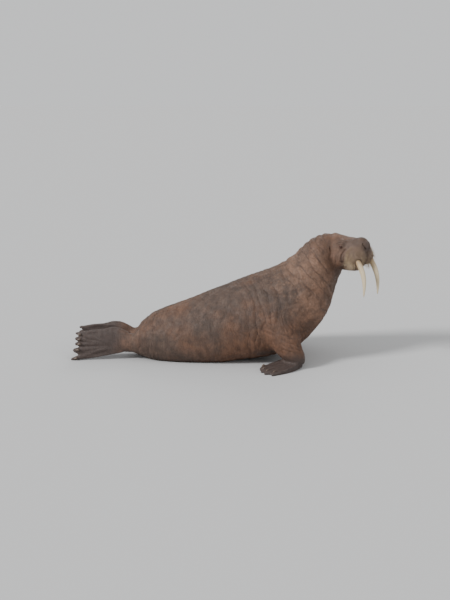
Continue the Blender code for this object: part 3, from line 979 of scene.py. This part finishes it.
def setPaint(tree, shader, color, rough, bump=None):
    feed(tree, shader.inputs["Base Color"], color)
    feed(tree, shader.inputs["Roughness"], rough)
    if bump:
        height, strength, distance = bump
        sockets = {"Height": height, "Strength": strength, "Distance": distance}
        feed(tree, shader.inputs["Normal"], addNode(tree, "ShaderNodeBump", sockets).outputs[0])


# Colours and grain of the hide, shared by the skin and its coat
hideColors = {
    "rust": (0.122, 0.058, 0.032),
    "grey": (0.072, 0.044, 0.031),
    "pale": (0.188, 0.106, 0.068),       # neck and shoulders, and the bosses
    # painted shade laid into the creases and hollows
    "creaseShadeColor": (0.032, 0.017, 0.012),
    "flipper": (0.052, 0.034, 0.028),
    "pad": (0.150, 0.092, 0.061),
    "nose": (0.052, 0.032, 0.025),
    "rim": (0.070, 0.024, 0.020),
    "scar": (0.34, 0.22, 0.165),
}
hideNoise = {
    # name: scale, detail and roughness, then from, to and what these become
    "broad": ((1.6, 4.0), (0.38, 0.64)),
    "pale": ((3.1, 5.0), (0.36, 0.66, 0.15, 0.85)),
    "blotch": ((11.0, 6.0, 0.62), (0.34, 0.68, 0.74, 1.22)),
    "scar": ((1.7, 2.0, 0.4), (0.006, 0.0)),
    "scarred": ((2.3, 2.0), (0.55, 0.66, 0.0, 0.55)),
    "wrinkle": ((30.0, 5.0, 0.60), (0.0, 0.05)),
    "rough": ((17.0, 4.0), (0.3, 0.7, 0.54, 0.74)),
}
hideLayers = {
    # under and over the scars: a mark, the colour it brings and how much of it
    "under": (("pad", "pad", 0.72), ("bare", "flipper", 1.0), ("boss", "pale", 0.50)),
    # the first of these is painted shade in the creases and hollows
    "over": (("creaseShade", "creaseShadeColor", 0.72), ("nose", "nose", 0.45), ("rim", "rim", 1.0)),
    "wet": (("nose", 0.06), ("rim", 0.35)),
}
hideGrain = {
    "warp": (40.0, 0.018),               # scale of the noise that bends the cells, and how far
    "cells": ((105.0, 0.40), (260.0, 0.20)),      # scale, then share of the height
    "wrinkle": 0.55,
    "wrinkleStretch": (1.0, 0.8, 0.34),
    "scarStretch": (3.0, 9.0, 24.0),
    "pores": (520.0, 0.14),
    "crack": (0.25, 0.95, 0.74, 1.06),   # painted shade: darker in the grain's grooves and a little lighter on its raised cells
    "strength": 0.7,
    "distance": 0.0036,
}


def layered(tree, color, layers):
    for name, shade, share in layers:
        color = mixed(tree, mark(tree, name, share), color, hideColors[shade])
    return color


def hideColor(tree):
    place = objectPlace(tree)
    broad = patches(tree, place, *hideNoise["broad"])
    color = mixed(tree, broad, hideColors["grey"], hideColors["rust"])
    pale = times(tree, mark(tree, "pale"), patches(tree, place, *hideNoise["pale"]))
    color = mixed(tree, pale, color, hideColors["pale"])
    color = tinted(tree, color, patches(tree, place, *hideNoise["blotch"]))
    color = layered(tree, color, hideLayers["under"])
    scar = thinLines(tree, objectPlace(tree, hideGrain["scarStretch"]), *hideNoise["scar"])
    scar = times(tree, scar, patches(tree, place, *hideNoise["scarred"]))
    color = mixed(tree, times(tree, scar, mark(tree, "pale")), color, hideColors["scar"])
    return layered(tree, color, hideLayers["over"])


def hideHeight(tree):
    # creased, leathery grain: upright creases, cells between them, and pores
    place = objectPlace(tree)
    scale, far = hideGrain["warp"]
    warp = addNode(tree, "ShaderNodeTexNoise", {"Vector": place, "Scale": scale, "Detail": 2.0})
    shift = addNode(tree, "ShaderNodeVectorMath", {0: warp.outputs["Color"], "Scale": far},
                    operation="SCALE").outputs[0]
    bent = addNode(tree, "ShaderNodeVectorMath", {0: place, 1: shift}, operation="ADD").outputs[0]
    stretched = objectPlace(tree, hideGrain["wrinkleStretch"])
    wrinkle = thinLines(tree, stretched, *hideNoise["wrinkle"])
    smooth = ranged(tree, mark(tree, "pad"), 0.0, 1.0, 1.0, 0.35)
    height = times(tree, times(tree, wrinkle, hideGrain["wrinkle"]), smooth)
    for scale, share in hideGrain["cells"]:
        cells = addNode(tree, "ShaderNodeTexVoronoi", {"Vector": bent, "Scale": scale},
                        feature="DISTANCE_TO_EDGE").outputs["Distance"]
        height = counted(tree, "ADD", height, times(tree, ranged(tree, cells, 0.0, 0.30), share))
    scale, share = hideGrain["pores"]
    return counted(tree, "ADD", height, times(tree, noiseOver(tree, place, scale, 2.0), share))


def hidePaint():
    made, tree, shader = newMaterial("hide")
    height = hideHeight(tree)
    # painted shade in the grain's grooves and a little painted light on its cells, taken from the bump's
    # height
    color = tinted(tree, hideColor(tree), ranged(tree, height, *hideGrain["crack"]))
    rough = patches(tree, objectPlace(tree), *hideNoise["rough"])
    for name, share in hideLayers["wet"]:
        rough = counted(tree, "SUBTRACT", rough, mark(tree, name, share))
    setPaint(tree, shader, color, rough, (height, hideGrain["strength"], hideGrain["distance"]))
    return made


def markPale():
    # paler, redder hide over the neck, chest and shoulders
    places = placesOf(skin)
    share = ramp(alongNeck(places), -0.42, -0.02) * (1.0 - 0.55 * shareOf("face", places))
    marks["pale"] = share * ramp(places[:, 2], 0.20, 0.55) * (1.0 - marks["bare"])


markPale()
storeMarks(skin, marks)
skin.data.materials.clear()
skin.data.materials.append(hidePaint())
print("hide painted")


# Closed tubes: a point, rings of points and a point, each with a value of a mark
def ringOf(middle, first, second, corners):
    turns = 2 * math.pi * np.arange(corners) / corners
    return middle + np.outer(np.cos(turns), first) + np.outer(np.sin(turns), second)


def emptyTubes():
    return {"points": [], "values": [], "faces": []}


def addTube(tubes, stations, corners):
    first = len(tubes["points"])
    for value, ring in stations:
        ring = np.atleast_2d(ring)
        tubes["points"].extend(ring)
        tubes["values"].extend([value] * len(ring))
    rings = len(stations) - 2
    for j in range(corners):
        k = (j + 1) % corners
        tubes["faces"].append((first, first + 1 + k, first + 1 + j))
        for a in range(first + 1, first + 1 + (rings - 1) * corners, corners):
            tubes["faces"].append((a + j, a + k, a + corners + k, a + corners + j))
        a = first + 1 + (rings - 1) * corners
        tubes["faces"].append((a + j, a + k, a + corners))


def pieceFrom(name, tubes, material, mark="share", replaced=()):
    mesh = bpy.data.meshes.new(name)
    mesh.from_pydata([tuple(point) for point in tubes["points"]], [], tubes["faces"])
    mesh.update()
    piece = linked(name, mesh)
    mesh.materials.append(material)
    mesh.shade_smooth()
    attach(piece, "root")
    storeMarks(piece, {mark: tubes["values"]})
    editAll(piece, bpy.ops.mesh.normals_make_consistent, inside=False)
    if replaced:
        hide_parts(*replaced)
    return piece


# Eyes
eyeColors = {
    "pupil": (0.004, 0.004, 0.005),
    "iris": (0.050, 0.018, 0.007),
    "limbus": (0.020, 0.008, 0.006),
    "white": (0.17, 0.070, 0.052),
    "vein": (0.12, 0.030, 0.022),
    "veins": ((260.0, 4.0), (0.35, 0.7)),
    "pupilEdge": (15.5, 17.5),     # degrees from where the eye looks
    "irisEdge": (26.0, 33.0),
    "limbusEdge": (36.0, 41.0),
    "rough": 0.07,
    "specular": 0.22,
    "wet": 0.20,
    "wetRough": 0.03,
}


def eyePaint():
    made, tree, shader = newMaterial("eye")
    gaze = mark(tree, "gaze")
    veins = patches(tree, objectPlace(tree), *eyeColors["veins"])
    white = mixed(tree, veins, eyeColors["white"], eyeColors["vein"])
    color = eyeColors["pupil"]
    rings = (("pupilEdge", eyeColors["iris"]), ("irisEdge", eyeColors["limbus"]), ("limbusEdge", white))
    for edge, beyond in rings:
        color = mixed(tree, ranged(tree, gaze, *eyeColors[edge]), color, beyond)
    setPaint(tree, shader, color, eyeColors["rough"])
    shader.inputs["Specular IOR Level"].default_value = eyeColors["specular"]
    shader.inputs["Coat Weight"].default_value = eyeColors["wet"]
    shader.inputs["Coat Roughness"].default_value = eyeColors["wetRough"]
    return made


def addEyes():
    paint = eyePaint()
    rings, radius = eyeShape["rings"], eyeShape["radius"]
    for side, flip in sides:
        middle = np.array(middleOf("eye_" + side))
        along, up, out = eyeAxes(flip)
        stations = [(180.0, middle - out * radius)]
        for i in range(rings):
            angle = math.pi * (1.0 - (i + 1) / (rings + 1))
            front = max(0.0, 1.0 - (math.degrees(angle) / eyeShape["bulgeAngle"]) ** 2)
            size = radius * (1.0 + eyeShape["bulge"] * front)
            wide = size * math.sin(angle)
            ring = ringOf(middle + out * size * math.cos(angle), along * wide, up * wide * flip,
                          eyeShape["corners"])
            stations.append((math.degrees(angle), ring))
        stations.append((0.0, middle + out * radius * (1.0 + eyeShape["bulge"])))
        ball = emptyTubes()
        addTube(ball, stations, eyeShape["corners"])
        pieceFrom("eyeball_" + side, ball, paint, "gaze", ("eye_" + side,))


addEyes()
print("eyes")


# Tusks
tuskColors = {
    "ivory": (0.50, 0.40, 0.25),
    "cream": (0.64, 0.55, 0.38),
    "stain": (0.33, 0.20, 0.09),
    "crack": (0.16, 0.09, 0.045),
    "stretch": 0.11,               # of the grain, along the tusk
    "grain": (9.0, 5.0, 0.6),
    "cracks": ((5.5, 3.0, 0.5), (0.010, 0.0)),
    # along the tusk: from, to and how much at each
    "gumStain": (0.52, 0.18, 0.0, 0.85),
    "tipStain": (0.90, 1.0, 0.0, 0.35),
    "cracked": (0.95, 0.35, 0.10, 0.75),
    "rough": 0.36,
    "bump": (0.5, 0.0012),         # strength and distance
}
tuskForm = {
    "flutes": 0.028,               # shallow, along the outer face
    "dents": 0.010,
    "crowding": 1.35,              # rings stand closer together towards the tip
    "lastRing": 0.992,
    "lastPoint": 0.9965,
    "thinnest": 0.0018,
}


def tuskPaint():
    made, tree, shader = newMaterial("ivory")
    share, around = mark(tree, "share"), mark(tree, "around")
    sockets = {0: times(tree, share, tuskColors["stretch"]), 1: around, 2: 0.0}
    place = addNode(tree, "ShaderNodeCombineXYZ", sockets).outputs[0]
    grain = noiseOver(tree, place, *tuskColors["grain"])
    color = mixed(tree, ranged(tree, grain, 0.35, 0.68), tuskColors["ivory"], tuskColors["cream"])
    along = counted(tree, "ADD", share, times(tree, grain, 0.16))
    stained = ranged(tree, along, *tuskColors["gumStain"])
    color = mixed(tree, stained, color, tuskColors["stain"])
    crack = thinLines(tree, place, *tuskColors["cracks"])
    shown = times(tree, crack, ranged(tree, share, *tuskColors["cracked"]))
    color = mixed(tree, shown, color, tuskColors["crack"])
    color = mixed(tree, ranged(tree, share, *tuskColors["tipStain"]), color, tuskColors["stain"])
    height = counted(tree, "SUBTRACT", grain, times(tree, crack, 0.8))
    setPaint(tree, shader, color, tuskColors["rough"], (height, *tuskColors["bump"]))
    return made


def addTusks():
    paint = tuskPaint()
    rings, corners = tuskShape["rings"], tuskShape["corners"]
    turns = 2 * math.pi * np.arange(corners) / corners
    for side, flip in sides:
        stations = [(0.0, tuskLine(flip, 0.0)[0])]
        for i in range(rings):
            share = tuskForm["lastRing"] * (1.0 - (1.0 - i / (rings - 1)) ** tuskForm["crowding"])
            middle, half, (_, forward, across) = tuskLine(flip, share)
            half = max(half, tuskForm["thinnest"])
            flute = tuskForm["flutes"] * np.maximum(0.0, np.cos(3.0 * turns)) ** 3 * (1.0 - share ** 2)
            dent = 1.0 + tuskForm["dents"] * np.sin(7.0 * share * math.pi + 2.0 * turns)
            ring = ringOf(0.0, forward, across * tuskShape["slim"], corners)
            stations.append((share, middle + ring * (half * (1.0 - flute) * dent)[:, None]))
        stations.append((1.0, tuskLine(flip, tuskForm["lastPoint"])[0]))
        ivory = emptyTubes()
        addTube(ivory, stations, corners)
        ivory["points"] = fromHead(ivory["points"])
        around = np.tile(np.abs(np.sin(turns / 2 + 0.6)) * 3.0 + 7.0 * flip, rings)
        piece = pieceFrom("tuskIvory_" + side, ivory, paint, replaced=("tusk_" + side,))
        storeMarks(piece, {"around": np.concatenate([(0.0,), around, (0.0,)])})


addTusks()
print("tusks")


# Claws: each limb's five in one piece, each laid where the solid's claw is
clawShape = {
    "rings": 9,
    "corners": 12,
    "sink": 0.0005,                                  # into the digit
    "grow": {"fore": (1.35, 1.25), "hind": (1.25, 1.20)},      # thicker and longer than the solid's
    "arch": 0.55,
    "droop": 0.25,
    "tall": 0.78,                                    # height as a share of the width
    "color": (0.040, 0.027, 0.021),
    "worn": (0.13, 0.090, 0.062),
    "grain": (190.0, 4.0),
    "rough": 0.38,
    "bump": (0.4, 0.0008),
}


def clawPaint():
    made, tree, shader = newMaterial("claw")
    grain = noiseOver(tree, objectPlace(tree), *clawShape["grain"])
    color = mixed(tree, ranged(tree, grain, 0.35, 0.7), clawShape["color"], clawShape["worn"])
    wornTip = ranged(tree, mark(tree, "share"), 0.45, 1.0, 0.0, 0.7)
    color = mixed(tree, wornTip, color, clawShape["worn"])
    setPaint(tree, shader, color, clawShape["rough"], (grain, *clawShape["bump"]))
    return made


def addClaw(claws, name, tree):
    rings, corners = clawShape["rings"], clawShape["corners"]
    middle, axis, long = clawLine(name)
    spot, normal, _, _ = tree.find_nearest(Vector(middle))
    up = unit(np.array(normal) - axis * np.dot(normal, axis))
    across = np.cross(axis, up)
    middle = middle - up * np.dot(middle - np.array(spot), up)
    thicker, longer = clawShape["grow"][name[:4]]
    half = np.abs((placesOf(nodes[name]) - middle) @ across).max() * thicker
    long = long * longer
    stations = []
    for i in range(-1, rings + 1):
        t = min(max((i + 0.5) / rings, 0.0), 1.0)
        size = half * (1.0 - t ** 2.2) ** 0.8
        arch = clawShape["arch"] * half * math.sin(math.pi * min(1.0, 0.12 + 0.88 * t))
        arch -= clawShape["droop"] * half * t * t
        core = middle + axis * long * (t - 0.5) + up * (arch - clawShape["sink"])
        if 0 <= i < rings:
            core = ringOf(core, across * size, up * size * clawShape["tall"], corners)
        stations.append((t, core))
    addTube(claws, stations, corners)


def addClaws(tree):
    paint = clawPaint()
    for limb in ("fore", "hind"):
        for side, _ in sides:
            used = [name for name in clawNodes if name.startswith(f"{limb}_claw_{side}")]
            claws = emptyTubes()
            for name in sorted(used):
                addClaw(claws, name, tree)
            pieceFrom(f"{limb}Claws_{side}", claws, paint, replaced=sorted(used))


thinnedTree = skinTree(skin)
addClaws(thinnedTree)
print("claws")


# Whiskers: stiff bristles in rows over both pads, longest low down and at the sides
whiskers = {
    "rows": 18,
    "perRow": 26,
    "pitch": (66.0, -128.0),    # degrees of the top row, and from it to the lowest
    "turn": (-36.0, 172.0),     # degrees of the first in a row, and from it to the last
    "long": (0.016, 0.026, 0.016, 0.030),      # shortest, and what low, outer and both add
    "thick": 0.0010,            # half width at the root
    "droop": 0.26,
    "segments": 6,
    "corners": 5,
    "middleGap": 0.016,         # bare on each side of the middle
    "cheek": 0.245,             # none grow behind this
    "tuskGap": 0.007,
    "nose": (0.035, 0.062),     # none are both above the first and nearer the middle than the second
    "color": (0.36, 0.25, 0.14),
    "tipColor": (0.56, 0.45, 0.30),
    "patches": ((90.0, 2.0), (0.35, 0.65, 0.72, 1.12)),
    "rough": 0.42,
}


def whiskerPaint():
    made, tree, shader = newMaterial("whisker")
    shade = patches(tree, objectPlace(tree), *whiskers["patches"])
    color = mixed(tree, mark(tree, "share"), whiskers["color"], whiskers["tipColor"])
    setPaint(tree, shader, tinted(tree, color, shade), whiskers["rough"])
    return made


def clearOfTusk(spot, flip):
    for share in np.linspace(0.0, tuskShape["gum"], 13):
        middle, half, _ = tuskLine(flip, share)
        if np.linalg.norm(spot - middle) < half + whiskers["tuskGap"]:
            return False
    return True


def onPad(spot, flip):
    toSide = spot[1] * flip
    if toSide < whiskers["middleGap"] or spot[0] < whiskers["cheek"] or not clearOfTusk(spot, flip):
        return False
    below, beside = whiskers["nose"]
    return spot[2] <= below or toSide >= beside


def addWhiskers(tree):
    rng = np.random.default_rng(23)
    paint = whiskerPaint()
    down = np.array((0.0, 0.0, -1.0))
    corners, segments = whiskers["corners"], whiskers["segments"]
    for side, flip in sides:
        bristles = emptyTubes()
        pad = Vector(fromHead(onSide(headShape["pad"], flip)))
        for row in range(whiskers["rows"]):
            low = row / (whiskers["rows"] - 1)
            for k in range(whiskers["perRow"]):
                outer = (k + 0.5 * (row % 2)) / whiskers["perRow"]
                start, sweep = whiskers["pitch"]
                pitch = math.radians(start + sweep * low + rng.uniform(-2.0, 2.0))
                start, sweep = whiskers["turn"]
                turn = math.radians(start + sweep * outer + rng.uniform(-2.4, 2.4))
                flat = math.cos(pitch)
                ray = (flat * math.cos(turn), flat * math.sin(turn) * flip, math.sin(pitch))
                hit, normal, _, _ = tree.ray_cast(pad, Vector(headAxes @ ray), 0.3)
                if hit is None:
                    continue
                spot = inHead(np.array(hit))
                if not onPad(spot, flip):
                    continue
                least, byLow, byOuter, byBoth = whiskers["long"]
                long = least + byLow * low + byOuter * outer + byBoth * low * outer
                long *= rng.uniform(0.8, 1.2)
                aim = headAxes.T @ np.array(normal) * 0.85
                aim += (0.25, 0.10 * flip, -0.30 - 0.25 * low)
                aim = unit(aim + rng.normal(0.0, 0.09, 3))
                across = unit(np.cross(aim, down))
                upward = np.cross(across, aim)
                thick = whiskers["thick"] * rng.uniform(0.75, 1.15) * (0.75 + 5.0 * long)
                stations = [(0.0, spot - aim * 0.003)]
                for i in range(segments):
                    t = i / segments
                    core = spot + aim * (long * t - 0.002) + down * long * whiskers["droop"] * t * t
                    half = thick * (1.0 - t) ** 0.6
                    stations.append((t, ringOf(core, across * half, upward * half, corners)))
                stations.append((1.0, spot + aim * long + down * long * whiskers["droop"]))
                addTube(bristles, stations, corners)
        bristles["points"] = fromHead(bristles["points"])
        pieceFrom("whiskers_" + side, bristles, paint)
        print("whiskers", side, len(bristles["faces"]) // (corners * (segments + 1)))


addWhiskers(thinnedTree)


# Coat: short bristles lying along the hide
coat = {
    "tufts": 95000,
    "pieces": ("coatHind", "coatFlanks", "coatBack", "coatShoulders", "coatHead"),
    "long": 0.0145,             # on the trunk
    "faceLong": 0.0075,
    "limbLong": 0.0070,
    "wide": 0.0015,             # width of a tuft of the full length
    "rise": 0.0017,             # how far the tips stand off the skin
    "root": 0.0010,             # how deep the roots lie in it
    "patch": 0.003,             # each tuft's place on the unwrap
    "onFace": 1.3,              # how much more grows there
    "onLimb": 0.62,             # how much less
    "onPad": 0.7,
    # painted light: each tuft is lighter towards its tip, to offset the shade on its thin sides
    "tipPaintedLight": (0.95, 1.40),
    "rough": 0.72,
}


def lieOf(places, normals):
    # which way the hair lies: towards the tail, down the limbs, and back from the nose
    neck = ramp(alongNeck(places), -0.30, 0.10)[:, None]
    lie = np.array((-1.0, 0.0, -0.22)) * (1.0 - neck) + (-neckAxis + (0.0, 0.0, -0.25)) * neck
    face = shareOf("face", places)[:, None]
    back = inHead(places) - (0.46, 0.0, 0.03)
    back = back / np.maximum(lengths(back), 0.01)[:, None]
    lie = lie * (1.0 - face) + (back @ headAxes.T) * face
    arm = np.maximum(shareOf("arm", places), shareOf("hand", places))[:, None]
    toDigits = places - (0.98, 0.0, 0.42)
    toDigits[:, 1] -= 0.30 * np.sign(places[:, 1])
    toDigits /= lengths(toDigits)[:, None]
    lie = lie * (1.0 - arm) + toDigits * arm
    lie = lie + 0.30 * np.stack([softNoise(places * 6.0, 90 + k) for k in range(3)], 1)
    lie = lie - normals * (lie * normals).sum(axis=1)[:, None]
    return lie / np.maximum(lengths(lie), 1e-6)[:, None]


def coatPaint():
    made, tree, shader = newMaterial("coat")
    # painted light, from darker at the root to lighter at the tip
    shade = ranged(tree, mark(tree, "tip"), 0.0, 1.0, *coat["tipPaintedLight"])
    setPaint(tree, shader, tinted(tree, hideColor(tree), shade), coat["rough"])
    return made


def tuftFaces(count):
    # seven points a tuft: two edges and a ridge at the root and half way, and the tip
    flat = np.array(((0, 1, 2), (0, 3, 4), (0, 4, 1), (1, 4, 5), (1, 5, 2), (2, 5, 3), (2, 3, 0),
                     (3, 6, 4), (4, 6, 5), (5, 6, 3)))
    return (flat[None] + 7 * np.arange(count)[:, None, None]).reshape(-1, 3)


def coatPiece(name, points, uvs, paint):
    faces = tuftFaces(len(points))
    mesh = bpy.data.meshes.new(name)
    mesh.vertices.add(len(points) * 7)
    mesh.vertices.foreach_set("co", points.astype(np.float32).ravel())
    mesh.loops.add(faces.size)
    mesh.loops.foreach_set("vertex_index", faces.astype(np.int32).ravel())
    mesh.polygons.add(len(faces))
    mesh.polygons.foreach_set("loop_start", np.arange(0, faces.size, 3, dtype=np.int32))
    mesh.update(calc_edges=True)
    layer = mesh.uv_layers.new(name="OFBake")
    uvs = uvs.reshape(-1, 2)[faces.ravel()]
    layer.data.foreach_set("uv", np.clip(uvs, 0.0, 1.0).astype(np.float32).ravel())
    mesh.materials.append(paint)
    piece = linked(name, mesh)
    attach(piece, "root")
    print(name, len(faces), "triangles")
    return piece


def addCoat(item):
    rng = np.random.default_rng(41)
    mesh = item.data
    places, normals = placesOf(item), normalsOf(item)
    corners = readAll(mesh.loops, "vertex_index", 1, np.int32).reshape(-1, 3)
    unwrap = readAll(mesh.uv_layers["OFBake"].data, "uv", 2).reshape(-1, 3, 2)
    a, b, c = (places[corners[:, k]] for k in range(3))
    area = lengths(np.cross(b - a, c - a)) / 2
    middle = (a + b + c) / 3
    face = shareOf("face", middle)
    limb = np.maximum(marks["bare"][corners].mean(1), shareOf("foot", middle))
    bald = np.maximum(marks["nose"][corners].max(1), marks["rim"][corners].max(1))
    wanted = area * (1.0 + coat["onFace"] * face) * (1.0 - coat["onLimb"] * limb) * (bald < 0.08)
    wanted *= (middle[:, 2] > 0.010) * (1.0 - coat["onPad"] * marks["pad"][corners].mean(1))
    count = coat["tufts"]
    chosen = rng.choice(len(area), count, p=wanted / wanted.sum())
    chosen = chosen[np.argsort(middle[chosen, 0], kind="stable")]
    mix = rng.random((count, 2))
    over = mix.sum(1) > 1.0
    mix[over] = 1.0 - mix[over]
    mix = np.column_stack([1.0 - mix.sum(1), mix])[:, :, None]
    root = (places[corners[chosen]] * mix).sum(1)
    normal = (normals[corners[chosen]] * mix).sum(1)
    normal /= lengths(normal)[:, None]
    spot = np.clip((unwrap[chosen] * mix).sum(1), 0.002, 0.998)
    lie = lieOf(root, normal)
    across = np.cross(normal, lie)

    face, limb = face[chosen][:, None], limb[chosen][:, None]
    long = coat["long"] * (1.0 - face) + coat["faceLong"] * face
    long = (long * (1.0 - limb) + coat["limbLong"] * limb) * rng.uniform(0.70, 1.25, (count, 1))
    wide = coat["wide"] * (0.45 + 0.55 * long / coat["long"]) * rng.uniform(0.8, 1.2, (count, 1)) / 2
    rise = coat["rise"] * (0.35 + 0.65 * long / coat["long"]) * rng.uniform(0.6, 1.1, (count, 1))
    drift = long * rng.normal(0.0, 0.16, (count, 1))
    half = root + lie * long * 0.52 + normal * rise * 0.62 + across * drift * 0.35
    tip = root + lie * long + normal * rise + across * drift
    low, lowHalf = root - normal * coat["root"], half - normal * 0.0003
    edge, halfEdge = across * wide, across * wide * 0.8
    points = np.stack([low - edge, low + edge, root + normal * 0.0005,
                       lowHalf - halfEdge, lowHalf + halfEdge, half + normal * 0.0004, tip], axis=1)
    points[:, :, 2] = np.maximum(points[:, :, 2], skinShape["floorGap"])
    patch = np.array(((-1, -1), (1, -1), (0, -1), (-0.8, 0), (0.8, 0), (0, 0.1), (0, 1)))
    uvs = spot[:, None] + patch * coat["patch"] / 2
    # the tufts carry the hide's marks, the painted shade of the creases among them
    held = {name: (column[corners[chosen]] * mix[:, :, 0]).sum(1) for name, column in marks.items()}
    paint = coatPaint()
    step = -(-count // len(coat["pieces"]))
    for k, name in enumerate(coat["pieces"]):
        part = slice(k * step, min(count, (k + 1) * step))
        piece = coatPiece(name, points[part], uvs[part], paint)
        storeMarks(piece, {key: np.repeat(column[part], 7) for key, column in held.items()})
        storeMarks(piece, {"tip": np.tile((0.0, 0.0, 0.0, 0.5, 0.5, 0.5, 1.0), len(points[part]))})


addCoat(skin)
